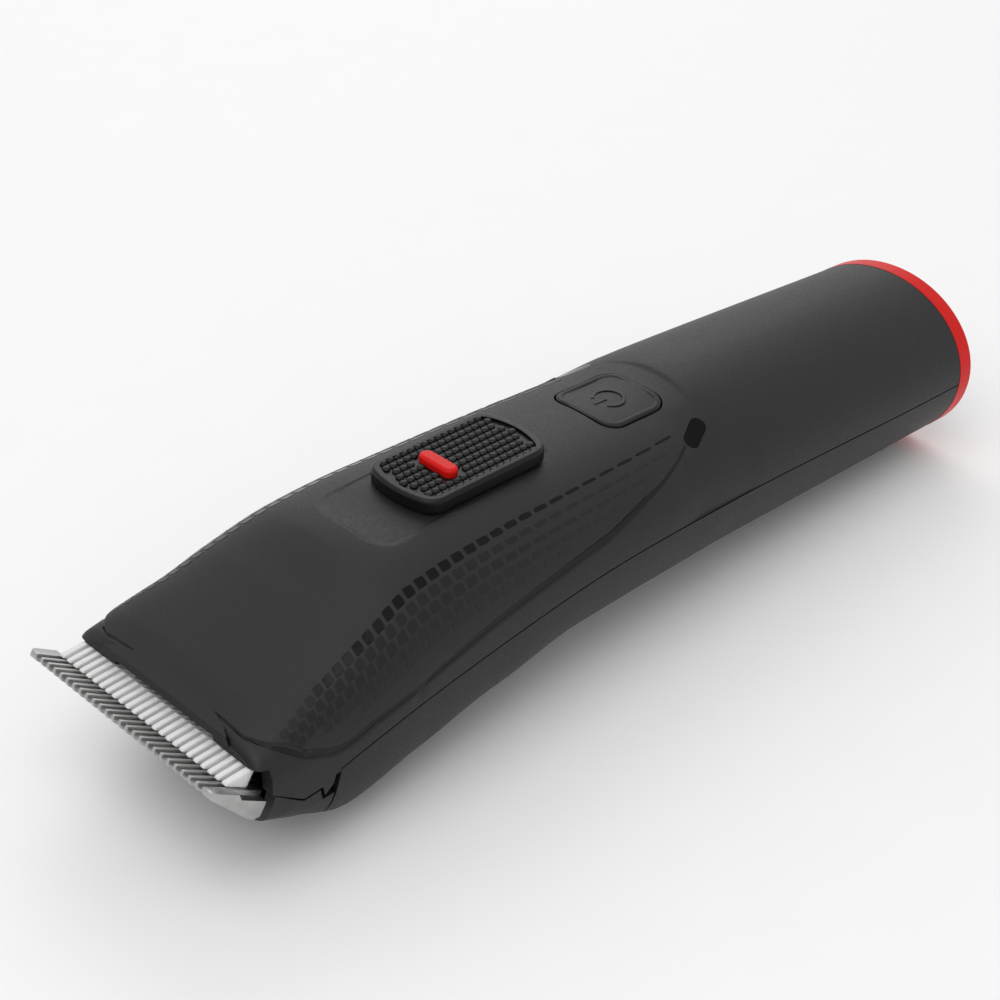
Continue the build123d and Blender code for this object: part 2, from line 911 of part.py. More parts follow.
with BuildPart() as cutter_blade:
    with BuildSketch(blade_side):
        with BuildLine():
            Polyline(
                (cutter_setback, blade_gap),
                (cutter_back, blade_gap),
                (cutter_back, cutter_top),
                (bevel_back, cutter_top),
                (cutter_setback, blade_gap + cutter_edge),
                close=True,
            )
        make_face()
    extrude(amount=cutter_half_width, both=True)
    with BuildSketch(blade_top) as cutter_plan:
        with Locations((cutter_setback, 0)):
            Rectangle(cutter_shoulder, 2 * cutter_half_width, align=(Align.MIN, Align.CENTER))
        fillet(cutter_plan.vertices().sort_by(Axis.X)[2:], cutter_shoulder_round)
        with Locations((cutter_setback, 0)):
            Rectangle(cutter_length, 2 * cutter_back_half_width, align=(Align.MIN, Align.CENTER))
    extrude(amount=reach, mode=Mode.INTERSECT)
    with BuildSketch(bevel_plane.offset(-cutter_groove_depth)):
        with GridLocations(0, tooth_pitch, 1, cutter_tooth_gaps):
            Rectangle(reach, cutter_tooth_gap_width)
    extrude(amount=reach, mode=Mode.SUBTRACT)
    with BuildSketch(blade_side):
        with Locations((cutter_back, rail_mid)):
            Rectangle(
                rail_depth - carriage_gap + rail_gap,
                rail_height + 2 * rail_gap,
                align=(Align.MAX, Align.CENTER),
            )
    extrude(amount=reach, both=True, mode=Mode.SUBTRACT)

# Yoke: a foot on the cutter and a fork that takes the eccentric pin
fork_half_gap = pin_radius + pin_offset + cutter_stroke + clearance

with BuildPart() as drive_yoke:
    with BuildSketch(Plane.XZ):
        with BuildLine():
            Polyline(*yoke_outline(0), close=True)
        make_face()
    extrude(amount=yoke_half_width, both=True)
    with BuildSketch(Plane.XY):
        with Locations((yoke_slot_start, 0)):
            Rectangle(reach, 2 * fork_half_gap, align=(Align.MIN, Align.CENTER))
    extrude(amount=reach, both=True, mode=Mode.SUBTRACT)

# Carriage: a bar behind the cutter with a rail, two guide slots and a follower post
with BuildPart() as cutter_carriage:
    with BuildSketch(blade_top.offset(carriage_lift)):
        with Locations((carriage_front, 0)):
            Rectangle(carriage_length, 2 * carriage_half_width, align=(Align.MIN, Align.CENTER))
    extrude(amount=carriage_height)
    with BuildSketch(blade_side):
        with Locations((carriage_front, rail_mid)):
            Rectangle(rail_depth, rail_height, align=(Align.MAX, Align.CENTER))
    extrude(amount=cutter_back_half_width, both=True)
    with BuildSketch(blade_top):
        with Locations(
            (guide_screw_along + carriage_travel / 2, guide_screw_y),
            (guide_screw_along + carriage_travel / 2, -guide_screw_y),
        ):
            SlotOverall(
                carriage_travel + 2 * (comb_screw_radius + clearance),
                2 * (comb_screw_radius + clearance),
            )
    extrude(amount=reach, mode=Mode.SUBTRACT)
    with BuildSketch(Plane.XZ.offset(-bar_inner_y)):
        with BuildLine():
            Polyline(
                blade_xz(carriage_front + carriage_length / 2, carriage_top - carriage_lift),
                blade_xz(carriage_front + carriage_length, carriage_top - carriage_lift),
                (follower_x + follower_radius, follower_z),
                (follower_x - follower_radius, follower_z),
                close=True,
            )
        make_face()
        with Locations((follower_x, follower_z)):
            Circle(follower_radius)
    extrude(amount=-bar_width)
    with BuildSketch(blade_top.offset(carriage_top)):
        with Locations((leaf_back, leaf_y), (leaf_back, -leaf_y)):
            Rectangle(leaf_bridge, leaf_width, align=(Align.MAX, Align.CENTER))
    extrude(amount=cutter_top + leaf_gap - carriage_top)

with BuildPart() as guide_screws:
    with BuildSketch(blade_top.offset(carriage_top + leaf_gap)):
        with Locations((guide_screw_along, guide_screw_y), (guide_screw_along, -guide_screw_y)):
            Circle(comb_screw_radius)
    extrude(amount=-(carriage_top + leaf_gap + tongue_thickness + comb_screw_bite))
    with BuildSketch(blade_top.offset(carriage_top + leaf_gap)):
        with Locations((guide_screw_along, guide_screw_y), (guide_screw_along, -guide_screw_y)):
            Circle(guide_head_radius)
    extrude(amount=guide_head)

# Springs: one presses the cutter on the comb, one pushes the carriage forward
with BuildPart() as tension_spring:
    with BuildSketch(blade_top.offset(cutter_top + leaf_gap)):
        with Locations((leaf_back, 0)):
            Rectangle(leaf_bridge, 2 * leaf_y + leaf_width, align=(Align.MAX, Align.CENTER))
        with Locations((leaf_back, leaf_y), (leaf_back, -leaf_y)):
            Rectangle(leaf_back - leaf_front, leaf_width, align=(Align.MAX, Align.CENTER))
    extrude(amount=leaf_thickness)

carriage_back = carriage_front + carriage_length

with BuildPart() as return_spring:
    with BuildSketch(blade_side):
        with Locations((carriage_back + leaf_gap, 0)):
            Rectangle(leaf_thickness, carriage_top, align=(Align.MIN, Align.MIN))
            Rectangle(return_leaf_foot, leaf_thickness, align=(Align.MIN, Align.MIN))
    extrude(amount=return_leaf_half_width, both=True)

# Length slider: cap with a dished top, marker, retainer under the deck, screw and cam bar
retainer_front = -stem_length / 2 - retainer_margin
marker_along = marker_from_front - slider_length / 2


def slider_outline(inset):
    """Plan of the slider with bowed ends, drawn in by inset."""
    end = slider_length / 2 - inset
    side = slider_half_width - inset
    with BuildSketch() as outline:
        with BuildLine():
            ThreePointArc((-end + slider_end_bow, side), (-end, 0), (-end + slider_end_bow, -side))
            Line((-end + slider_end_bow, -side), (end - slider_end_bow, -side))
            ThreePointArc((end - slider_end_bow, -side), (end, 0), (end - slider_end_bow, side))
            Line((end - slider_end_bow, side), (-end + slider_end_bow, side))
        make_face()
        fillet(outline.vertices(), slider_corner - inset)
    return outline.sketch


with BuildPart() as slider_cap:
    with BuildSketch(deck_plane.offset(clearance)):
        add(slider_outline(0))
    extrude(amount=slider_height)
    fillet(slider_cap.faces().sort_by(Axis.Z)[-1].edges(), slider_round)
    with BuildSketch(deck_plane.offset(clearance + slider_height - slider_dish)):
        add(slider_outline(slider_rim))
    extrude(amount=slider_height, mode=Mode.SUBTRACT)
    with BuildSketch(deck_plane.offset(retainer_top)):
        Rectangle(stem_length, 2 * stem_half_width)
    extrude(amount=clearance - retainer_top)
    with BuildSketch(deck_plane.offset(retainer_top)):
        Circle(slider_screw_radius + shaft_fit)
    extrude(amount=slider_screw_bite, mode=Mode.SUBTRACT)

with BuildPart() as slider_marker:
    with BuildSketch(deck_plane.offset(clearance + slider_height - slider_dish)):
        with Locations((marker_along, 0)):
            SlotOverall(marker_length, marker_width, rotation=90)
    extrude(amount=marker_height)
    fillet(slider_marker.faces().sort_by(Axis.Z)[-1].edges(), slider_round)

with BuildPart() as slider_retainer:
    with BuildSketch(deck_plane.offset(retainer_bottom)):
        Rectangle(-2 * retainer_front, 2 * retainer_half_width)
    extrude(amount=retainer_thickness)
    with BuildSketch(deck_plane.offset(retainer_bottom)):
        Circle(slider_screw_radius + shaft_fit)
    extrude(amount=retainer_thickness, mode=Mode.SUBTRACT)
    with BuildSketch(deck_plane.offset(retainer_bottom)):
        Circle(slider_screw_head_radius + shaft_fit)
    extrude(amount=slider_screw_head, mode=Mode.SUBTRACT)

with BuildPart() as slider_screw:
    with BuildSketch(deck_plane.offset(retainer_bottom)):
        Circle(slider_screw_head_radius)
    extrude(amount=slider_screw_head)
    with BuildSketch(deck_plane.offset(retainer_bottom)):
        Circle(slider_screw_radius)
    extrude(amount=retainer_thickness + slider_screw_bite)

with BuildPart() as cam_bar:
    with BuildSketch(Plane.XZ.offset(-bar_inner_y)):
        with BuildLine():
            Polyline(*bar_outline(0), close=True)
        make_face()
    extrude(amount=-bar_width)
    with BuildSketch(deck_plane.offset(retainer_bottom)):
        with Locations((retainer_front, 0)):
            Rectangle(
                retainer_front - bar_front,
                bar_inner_y + bar_width,
                align=(Align.MAX, Align.MIN),
            )
    extrude(amount=retainer_thickness)

# Power button, its switch and the circuit board
button_bottom = board_top + switch_height + button_travel + button_rest_gap

with BuildPart() as power_button:
    add(casing_form.part)
    with BuildSketch(Plane.XY.offset(button_bottom)):
        with Locations((button_x, 0)):
            RectangleRounded(button_side, button_side, button_corner)
    extrude(amount=reach, mode=Mode.INTERSECT)
    with BuildSketch(Plane.XY.offset(button_bottom)):
        with Locations((button_x, 0)):
            RectangleRounded(
                button_side + 2 * button_flange, button_side + 2 * button_flange, button_corner
            )
    extrude(amount=button_flange_thickness)

with BuildPart() as circuit_board:
    with BuildSketch(Plane.XY.offset(board_z)):
        with Locations((board_front_x, 0)):
            Rectangle(board_length, 2 * board_half_width, align=(Align.MIN, Align.CENTER))
        with Locations(*board_screw_places):
            Circle(board_screw_radius + shaft_fit, mode=Mode.SUBTRACT)
    extrude(amount=board_thickness)

with BuildPart() as tact_switch:
    with BuildSketch(Plane.XY.offset(board_top)):
        with Locations((button_x, 0)):
            Rectangle(switch_side, switch_side)
    extrude(amount=switch_height - plunger_height)
    with BuildSketch(Plane.XY.offset(board_top + switch_height - plunger_height)):
        with Locations((button_x, 0)):
            Circle(plunger_radius)
    extrude(amount=plunger_height)

with BuildPart() as control_chip:
    with BuildSketch(Plane.XY.offset(board_top)):
        with Locations((chip_x, 0)):
            Rectangle(chip_side, chip_side)
    extrude(amount=chip_height)

with BuildPart() as board_screws:
    for x, y in board_screw_places:
        with BuildSketch(Plane.XY.offset(board_z)):
            with Locations((x, y)):
                Circle(board_screw_head_radius)
        extrude(amount=-board_screw_head)
        with BuildSketch(Plane.XY.offset(board_z)):
            with Locations((x, y)):
                Circle(board_screw_radius)
        extrude(amount=board_thickness + board_screw_bite)

# Battery cell and its welded tabs
battery_back_x = battery_front_x + battery_length

with BuildPart() as battery_cell:
    with BuildSketch(battery_plane.offset(battery_front_x)):
        Circle(battery_radius)
    extrude(amount=battery_length)
    fillet(battery_cell.edges(), cell_round)
    with BuildSketch(battery_plane.offset(battery_front_x)):
        Circle(nub_radius)
    extrude(amount=-nub_length)

with BuildPart() as battery_tabs:
    with BuildSketch(battery_plane.offset(battery_front_x - nub_length)):
        Rectangle(tab_width, tab_length)
    extrude(amount=-tab_thickness)
    with BuildSketch(Plane.YZ.offset(battery_back_x)):
        with Locations((0, rear_tab_top)):
            Rectangle(tab_width, tab_length + rear_tab_top / 2, align=(Align.CENTER, Align.MAX))
    extrude(amount=tab_thickness)

# Motor: can, end bell, bearings, magnets, terminals and the parts that spin
can_back_x = motor_back_x - bell_length
armature_front_x = motor_front_x + motor_wall + armature_gap
commutator_front_x = armature_front_x + armature_length
rear_bearing_x = motor_back_x - bearing_length

with BuildPart() as motor_can:
    with BuildSketch(motor_plane.offset(motor_front_x)):
        Circle(motor_radius)
    extrude(amount=motor_length - bell_length)
    with BuildSketch(motor_plane.offset(motor_front_x)):
        Circle(motor_nose_radius)
    extrude(amount=-motor_nose)
    with BuildSketch(motor_plane.offset(motor_front_x + motor_wall)):
        Circle(motor_radius - motor_wall)
    extrude(amount=motor_length, mode=Mode.SUBTRACT)
    with BuildSketch(motor_plane.offset(motor_front_x - motor_nose)):
        Circle(bearing_radius + shaft_fit)
    extrude(amount=motor_nose + motor_wall, mode=Mode.SUBTRACT)

with BuildPart() as motor_end_bell:
    with BuildSketch(motor_plane.offset(can_back_x)):
        Circle(motor_radius)
    extrude(amount=bell_length)
    with BuildSketch(motor_plane.offset(can_back_x)):
        Circle(shaft_radius + shaft_hole_fit)
    extrude(amount=bell_length, mode=Mode.SUBTRACT)
    with BuildSketch(motor_plane.offset(rear_bearing_x)):
        Circle(bearing_radius + shaft_fit)
    extrude(amount=bearing_length, mode=Mode.SUBTRACT)

with BuildPart() as motor_bearings:
    for x in (motor_front_x - motor_nose, rear_bearing_x):
        with BuildSketch(motor_plane.offset(x)):
            Circle(bearing_radius)
            Circle(shaft_radius + shaft_fit, mode=Mode.SUBTRACT)
        extrude(amount=bearing_length)

with BuildPart() as motor_magnets:
    with BuildSketch(motor_plane.offset(armature_front_x)):
        Circle(motor_radius - motor_wall - shaft_fit)
        Circle(motor_radius - motor_wall - magnet_thickness, mode=Mode.SUBTRACT)
        Rectangle(magnet_split, reach, mode=Mode.SUBTRACT)
    extrude(amount=armature_length)

with BuildPart() as motor_terminals:
    with BuildSketch(motor_plane.offset(motor_back_x)):
        with Locations((terminal_spread, 0), (-terminal_spread, 0)):
            Rectangle(terminal_thickness, terminal_width)
    extrude(amount=terminal_length)

with BuildPart() as motor_shaft:
    with BuildSketch(motor_plane.offset(cam_x + shaft_radius)):
        Circle(shaft_radius)
    extrude(amount=motor_back_x - shaft_end_gap - cam_x - shaft_radius)

with BuildPart() as motor_armature:
    with BuildSketch(motor_plane.offset(armature_front_x)):
        Circle(armature_radius)
        with PolarLocations(armature_core, 3, start_angle=90):
            Rectangle(armature_radius, armature_slot, align=(Align.MIN, Align.CENTER), mode=Mode.SUBTRACT)
        Circle(shaft_radius + shaft_fit, mode=Mode.SUBTRACT)
    extrude(amount=armature_length)

with BuildPart() as motor_commutator:
    with BuildSketch(motor_plane.offset(commutator_front_x)):
        Circle(commutator_radius)
        Circle(shaft_radius + shaft_fit, mode=Mode.SUBTRACT)
    extrude(amount=commutator_length)

with BuildPart() as eccentric_cam:
    with BuildSketch(motor_plane.offset(cam_x)):
        Circle(cam_radius)
    extrude(amount=cam_length)
    with BuildSketch(motor_plane.offset(cam_x)):
        with Locations((0, pin_offset)):
            Circle(pin_radius)
    extrude(amount=-pin_length)
    with BuildSketch(motor_plane.offset(cam_x + shaft_radius)):
        Circle(shaft_radius + shaft_fit)
    extrude(amount=cam_length, mode=Mode.SUBTRACT)

# Leads: motor terminals to the board, and both battery tabs to the board
board_back_x = board_front_x + board_length
board_middle_z = board_z + board_thickness / 2
front_tab_x = battery_front_x - nub_length - tab_thickness

with BuildPart() as motor_leads:
    for y in (terminal_spread, -terminal_spread):
        with BuildLine() as motor_route:
            FilletPolyline(
                (motor_back_x + terminal_length, y, motor_z),
                (motor_lead_x, y, motor_z),
                (motor_lead_x, y, board_z),
                radius=lead_bend,
            )
        with BuildSketch(Plane(origin=motor_route.line @ 0, z_dir=motor_route.line % 0)):
            Circle(lead_radius)
        sweep(path=motor_route.line)

with BuildPart() as battery_leads:
    with BuildLine() as battery_route:
        FilletPolyline(
            (front_tab_x, 0, battery_lead_z),
            (battery_lead_x, 0, battery_lead_z),
            (battery_lead_x, 0, board_z),
            radius=lead_bend,
        )
    with BuildSketch(Plane(origin=battery_route.line @ 0, z_dir=battery_route.line % 0)):
        Circle(lead_radius)
    sweep(path=battery_route.line)
    with BuildSketch(Plane.YZ.offset(board_back_x)):
        with Locations((0, board_middle_z)):
            Circle(lead_radius)
    extrude(amount=battery_back_x - board_back_x)

# Tail: ring, end cap and charging socket
tail_section = (tail_x, tail_half_width, tail_top, tail_bottom, tail_seam, grip_fullness, grip_fullness)
tail_end_x = tail_x + cap_thickness

with BuildPart() as tail_ring:
    extrude(cross_section(*tail_section, 0), amount=ring_length)
    fillet(tail_ring.faces().sort_by(Axis.X)[-1].edges(), ring_round)
    extrude(cross_section(*tail_section, ring_width), amount=ring_length, mode=Mode.SUBTRACT)

with BuildPart() as tail_cap:
    extrude(cross_section(*tail_section, ring_width + cap_fit), amount=cap_thickness)
    extrude(cross_section(*tail_section, wall + cap_fit), amount=-cap_plug)
    with BuildSketch(Plane.YZ.offset(tail_end_x)):
        SlotOverall(socket_width + 2 * cap_fit, socket_height + 2 * cap_fit)
    extrude(amount=-reach, mode=Mode.SUBTRACT)

with BuildPart() as charging_socket:
    with BuildSketch(Plane.YZ.offset(tail_end_x - socket_length)):
        SlotOverall(socket_width, socket_height)
    extrude(amount=socket_length)
    with BuildSketch(Plane.YZ.offset(tail_end_x - socket_length + 2 * socket_wall)):
        SlotOverall(socket_width - 2 * socket_wall, socket_height - 2 * socket_wall)
    extrude(amount=socket_length, mode=Mode.SUBTRACT)
    with BuildSketch(Plane.YZ.offset(tail_end_x - socket_length)):
        Rectangle(socket_tongue_width, socket_tongue_height)
    extrude(amount=socket_length - 2 * socket_wall)

# Glossy accents let into the upper shell at the end of the step
with BuildPart() as side_accents:
    for side in (1, -1):
        accent_plane = Plane(
            origin=(accent_x, 0, 0),
            x_dir=(1, 0, 0),
            z_dir=(0, side * sin(radians(accent_angle)), cos(radians(accent_angle))),
        )
        with BuildSketch(accent_plane.offset(accent_seat_radius)):
            SlotOverall(accent_length, accent_width, rotation=-side * accent_tilt)
        extrude(amount=reach)
    add(casing_form.part, mode=Mode.INTERSECT)

with BuildPart() as casing_screws:
    for x, top in zip(boss_xs, boss_tops):
        for y in (boss_y, -boss_y):
            with BuildSketch(Plane.XY.offset(top - screw_floor)):
                with Locations((x, y)):
                    Circle(screw_head_radius)
            extrude(amount=-screw_head)
            with BuildSketch(Plane.XY.offset(top - screw_floor)):
                with Locations((x, y)):
                    Circle(screw_radius)
            extrude(amount=screw_floor + screw_bite - screw_end_gap)

# Lay the clipper on its chin and its tail, and put the origin under its middle
pieces = {
    "upper_shell": upper_shell,
    "lower_shell": lower_shell,
    "tail_ring": tail_ring,
    "tail_cap": tail_cap,
    "charging_socket": charging_socket,
    "side_accents": side_accents,
    "casing_screws": casing_screws,
    "slider_cap": slider_cap,
    "slider_marker": slider_marker,
    "slider_retainer": slider_retainer,
    "slider_screw": slider_screw,
    "cam_bar": cam_bar,
    "power_button": power_button,
    "tact_switch": tact_switch,
    "circuit_board": circuit_board,
    "control_chip": control_chip,
    "board_screws": board_screws,
    "battery_cell": battery_cell,
    "battery_tabs": battery_tabs,
    "battery_leads": battery_leads,
    "motor_can": motor_can,
    "motor_end_bell": motor_end_bell,
    "motor_bearings": motor_bearings,
    "motor_magnets": motor_magnets,
    "motor_terminals": motor_terminals,
    "motor_leads": motor_leads,
    "motor_shaft": motor_shaft,
    "motor_armature": motor_armature,
    "motor_commutator": motor_commutator,
    "eccentric_cam": eccentric_cam,
    "blade_holder": blade_holder,
    "hinge_pin": hinge_pin,
    "comb_blade": comb_blade,
    "comb_screws": comb_screws,
    "guide_screws": guide_screws,
    "cutter_carriage": cutter_carriage,
    "cutter_blade": cutter_blade,
    "drive_yoke": drive_yoke,
    "tension_spring": tension_spring,
    "return_spring": return_spring,
}
lay_angle = degrees(atan2(tail_bottom - chin_bottom, tail_x + ring_length - chin_x))
turned = Location((0, 0, 0), (0, lay_angle, 0))
boxes = [piece.part.moved(turned).bounding_box() for piece in pieces.values()]
front = min(box.min.X for box in boxes)
back = max(box.max.X for box in boxes)
floor = min(box.min.Z for box in boxes)
lying = Location((-(front + back) / 2, 0, -floor)) * turned

for name, piece in pieces.items():
    piece.part.label = name
    export_step(piece.part.moved(lying), f"parts/{name}.step")
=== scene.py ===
import json
import math

import bmesh
import bpy
import numpy as np
from mathutils import Matrix, Vector


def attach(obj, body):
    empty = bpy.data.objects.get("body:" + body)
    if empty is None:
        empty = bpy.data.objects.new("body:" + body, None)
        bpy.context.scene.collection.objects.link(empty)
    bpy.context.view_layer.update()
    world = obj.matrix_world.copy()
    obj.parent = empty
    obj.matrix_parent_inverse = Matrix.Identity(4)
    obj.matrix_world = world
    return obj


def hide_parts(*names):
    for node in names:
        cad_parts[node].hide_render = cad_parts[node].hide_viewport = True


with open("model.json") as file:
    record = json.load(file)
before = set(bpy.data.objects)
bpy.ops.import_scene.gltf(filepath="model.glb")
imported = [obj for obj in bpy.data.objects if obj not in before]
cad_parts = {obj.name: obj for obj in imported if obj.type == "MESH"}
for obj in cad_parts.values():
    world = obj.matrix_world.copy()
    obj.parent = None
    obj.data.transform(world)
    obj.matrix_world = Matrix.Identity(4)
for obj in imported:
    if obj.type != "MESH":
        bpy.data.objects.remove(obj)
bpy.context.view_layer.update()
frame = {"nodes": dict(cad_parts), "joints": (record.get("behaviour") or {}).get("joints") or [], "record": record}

# The handle frame, in millimetres: x from the comb tips to the tail, y across, z from the handle's axis
MM = 0.001
SPIN = next(joint for joint in frame["joints"] if joint["name"] == "motor_spin")
SPIN_X = 30.6
SPIN_Z = -3.4
ALONG = np.array(SPIN["axis"]) / np.linalg.norm(SPIN["axis"])
ACROSS = np.array((0.0, 1.0, 0.0))
ABOVE = np.cross(ALONG, ACROSS)

# Casing form: the same stations as the solids, from the mouth to the tail
STATION_X = np.array((6.0, 20.0, 28.0, 39.0, 54.0, 72.0, 98.0, 109.0, 169.0))
HALF_WIDTH = (21.0, 21.5, 21.5, 21.3, 20.8, 20.3, 19.8, 19.5, 18.6)
TOP = (-1.4, 4.4, 8.0, 12.5, 13.9, 14.1, 14.5, 16.2, 15.4)
BOTTOM = (-13.0, -20.0, -24.1, -22.5, -18.1, -16.5, -16.2, -16.6, -15.5)
SEAM = (-8.0, -8.5, -5.2, -1.7, -0.4, 0.2, 1.2, 1.2, 0.3)
CROWN_FULLNESS = (0.95, 0.82, 0.72, 0.6, 0.6, 0.62, 0.59, 0.5523, 0.5523)
KEEL_FULLNESS = (0.88, 0.88, 0.76, 0.73, 0.75, 0.63, 0.59, 0.5523, 0.5523)

# Fine skin over the casing
SKIN_FINE_STEP = 0.13
SKIN_STEP = 0.4
SKIN_FINE_TO = 24.0
SKIN_CROWN_COUNT = 40
SKIN_SIDE_FROM = 0.4
SKIN_SIDE_COUNT = 110
SKIN_BOTTOM_COUNT = 40
SKIN_INSET = 0.06
SKIN_OVERRUN = 0.4
SHARP_ANGLE = 32.0
SOFT_ANGLE = 50.0
WELD = 2e-6

# Crease behind the lip, which runs on along the side as a groove: x and place round the section
GROOVE_PATH = (
    (9.1, 0.0),
    (9.0, 0.37),
    (9.8, 0.46),
    (11.0, 0.56),
    (14.8, 0.79),
    (18.5, 0.87),
    (23.8, 0.92),
    (35.5, 0.98),
    (49.2, 0.90),
    (61.5, 0.84),
    (75.8, 0.77),
    (88.2, 0.64),
    (94.2, 0.55),
    (97.5, 0.49),
)
GROOVE_DEPTH = 0.4
GROOVE_HALF_WIDTH = 0.62
GROOVE_EDGE = 0.3
GROOVE_WIDENS_X = GROOVE_PATH[2][0]
GROOVE_FULL_X = 13.0
GROOVE_FADE = 14.0
GROOVE_LOWEST = 1.15
GROOVE_TAIL = 4.0
PATH_TURN = 40.0
PATH_COUNT = 900
PATH_WINDOW = 15
CREASE_POINTS = 6
CREASE_DEPTH = 0.26
CREASE_HALF_WIDTH = 0.26
LIP_DROP = 0.36
LIP_EASE = 0.3
LIP_ROUND_FROM = 9.0
LIP_ROUND = 1.6
LIP_ROUND_DROP = 1.0
LIP_SIDE_END = 0.9
LIP_SIDE_EASE = 0.2

# Soft step behind the power button, bowed towards the tail
STEP_FROM = 90.0
STEP_TO = 112.0
STEP_RISE = 6.0
STEP_FALL = 4.0
STEP_BOW = 0.026
STEP_EDGE_X = 104.9
STEP_EDGE_BOW = 12.0
STEP_EDGE_DROP = 0.24
STEP_EDGE_EASE = 0.7
STEP_EDGE_RUN = 7.0
STEP_EDGE_SIDE = 0.5
STEP_EDGE_SIDE_EASE = 0.1

# Deck recess and slider, in the plane of the deck
DECK_SLOPE = 2.4
DECK_X = 61.3
DECK_Z = 13.25
RECESS_FRONT = -21.7
RECESS_BACK = 13.6
RECESS_HALF_WIDTH = 7.7
RECESS_CORNER = 3.5
RECESS_FRONT_WALL = 0.9
RECESS_SIDE_WALL = 9.0
RECESS_WALL_TURN = (-17.0, -10.0)
RECESS_LIFT = 0.05
RECESS_DIP = 0.45
RECESS_DIP_FROM = -12.0
RECESS_DIP_RUN = 7.0
RECESS_EASE = 0.7
DECK_DEPTH = 4.0


def to_row(points):
    """Points in the handle frame, in millimetres, to the row frame, in metres."""
    points = np.asarray(points, float)
    start = np.array(SPIN["pos_m"])
    x = (points[..., 0:1] - SPIN_X) * ALONG
    y = points[..., 1:2] * ACROSS
    z = (points[..., 2:3] - SPIN_Z) * ABOVE
    return start + MM * (x + y + z)


def between(values, x):
    """A smooth curve through the values at the stations that never overshoots them."""
    values = np.array(values)
    steps = np.diff(STATION_X)
    slopes = np.diff(values) / steps
    tangents = np.concatenate(([slopes[0]], np.zeros(len(slopes) - 1), [slopes[-1]]))
    for n, (before, after) in enumerate(zip(slopes, slopes[1:])):
        tangents[n + 1] = 2 * before * after / (before + after) if before * after > 0 else 0
    span = np.clip(np.searchsorted(STATION_X, x, side="right") - 1, 0, len(steps) - 1)
    t = (x - STATION_X[span]) / steps[span]
    return (
        (1 + 2 * t) * (1 - t) ** 2 * values[span]
        + t * (1 - t) ** 2 * steps[span] * tangents[span]
        + t * t * (3 - 2 * t) * values[span + 1]
        + t * t * (t - 1) * steps[span] * tangents[span + 1]
    )


def bezier(t, a, b, c, d):
    return (1 - t) ** 3 * a + 3 * t * (1 - t) ** 2 * b + 3 * t * t * (1 - t) * c + t**3 * d


def section(x, s):
    """Point of the casing at x and at s round its section: 0 is the crown, 1 the seam, 2 the keel."""
    side, top, bottom, seam = (between(values, x) for values in (HALF_WIDTH, TOP, BOTTOM, SEAM))
    crown = between(CROWN_FULLNESS, x)
    keel = between(KEEL_FULLNESS, x)
    a = np.abs(s)
    t = np.where(a <= 1, a, a - 1)
    y_above = bezier(t, 0, crown * side, side, side)
    y_below = bezier(t, side, side, keel * side, 0)
    z_above = bezier(t, top, top, seam + crown * (top - seam), seam)
    z_below = bezier(t, seam, seam + keel * (bottom - seam), bottom, bottom)
    return np.where(a <= 1, y_above, y_below) * np.sign(s), np.where(a <= 1, z_above, z_below)


def skin(x, s):
    """Point of the skin in the handle frame, with the step behind the button bowed towards the tail."""
    x, s = np.broadcast_arrays(np.asarray(x, float), np.asarray(s, float))
    y = section(x, s)[0]
    fade_in = np.clip((x - STEP_FROM) / STEP_RISE, 0, 1)
    fade_out = np.clip((STEP_TO - x) / STEP_FALL, 0, 1)
    window = fade_in * fade_out * (np.abs(s) < 1)
    y, z = section(x + window * STEP_BOW * y * y, s)
    return np.stack([x, y, z], -1)


def skin_normal(x, s):
    """Direction straight out of the skin."""
    small = 1e-3
    along = skin(x + small, s) - skin(x - small, s)
    around = skin(x, s + small) - skin(x, s - small)
    normal = np.cross(along, around)
    normal /= np.linalg.norm(normal, axis=-1, keepdims=True)
    middle = np.stack([0 * normal[..., 0], skin(x, s)[..., 1], skin(x, s)[..., 2]], -1)
    return normal * np.sign(np.sum(normal * middle, -1, keepdims=True))


def deck_place(points):
    """Along, across and above the deck, from the middle of the slider at rest."""
    slope = math.radians(DECK_SLOPE)
    dx = points[..., 0] - DECK_X
    dz = points[..., 2] - DECK_Z
    return (
        dx * math.cos(slope) + dz * math.sin(slope),
        points[..., 1],
        dz * math.cos(slope) - dx * math.sin(slope),
    )


def from_deck(along, across, above):
    """Points in the handle frame from places along, across and above the deck."""
    slope = math.radians(DECK_SLOPE)
    return np.stack(
        [
            DECK_X + along * math.cos(slope) - above * math.sin(slope),
            across + 0 * along,
            DECK_Z + along * math.sin(slope) + above * math.cos(slope),
        ],
        -1,
    )


def smooth_min(a, b, width):
    """The lower of two heights, with a rounded corner where they cross."""
    h = np.clip(0.5 + 0.5 * (b - a) / width, 0, 1)
    return b * (1 - h) + a * h - width * h * (1 - h)


def ease(value):
    """A soft step from 0 to 1."""
    t = np.clip(value, 0, 1)
    return t * t * (3 - 2 * t)


def recess_height(along, across):
    """Height of the recess's floor and sloping walls above the deck."""
    middle = (RECESS_BACK + RECESS_FRONT) / 2
    a = np.abs(along - middle) - (RECESS_BACK - RECESS_FRONT) / 2 + RECESS_CORNER
    b = np.abs(across) - RECESS_HALF_WIDTH + RECESS_CORNER
    outside = np.hypot(np.maximum(a, 0), np.maximum(b, 0)) + np.minimum(np.maximum(a, b), 0)
    wall = np.interp(along, RECESS_WALL_TURN, (RECESS_FRONT_WALL, RECESS_SIDE_WALL))
    floor = RECESS_LIFT - RECESS_DIP * ease((RECESS_DIP_FROM - along) / RECESS_DIP_RUN)
    return floor + wall * np.maximum(outside - RECESS_CORNER, 0)


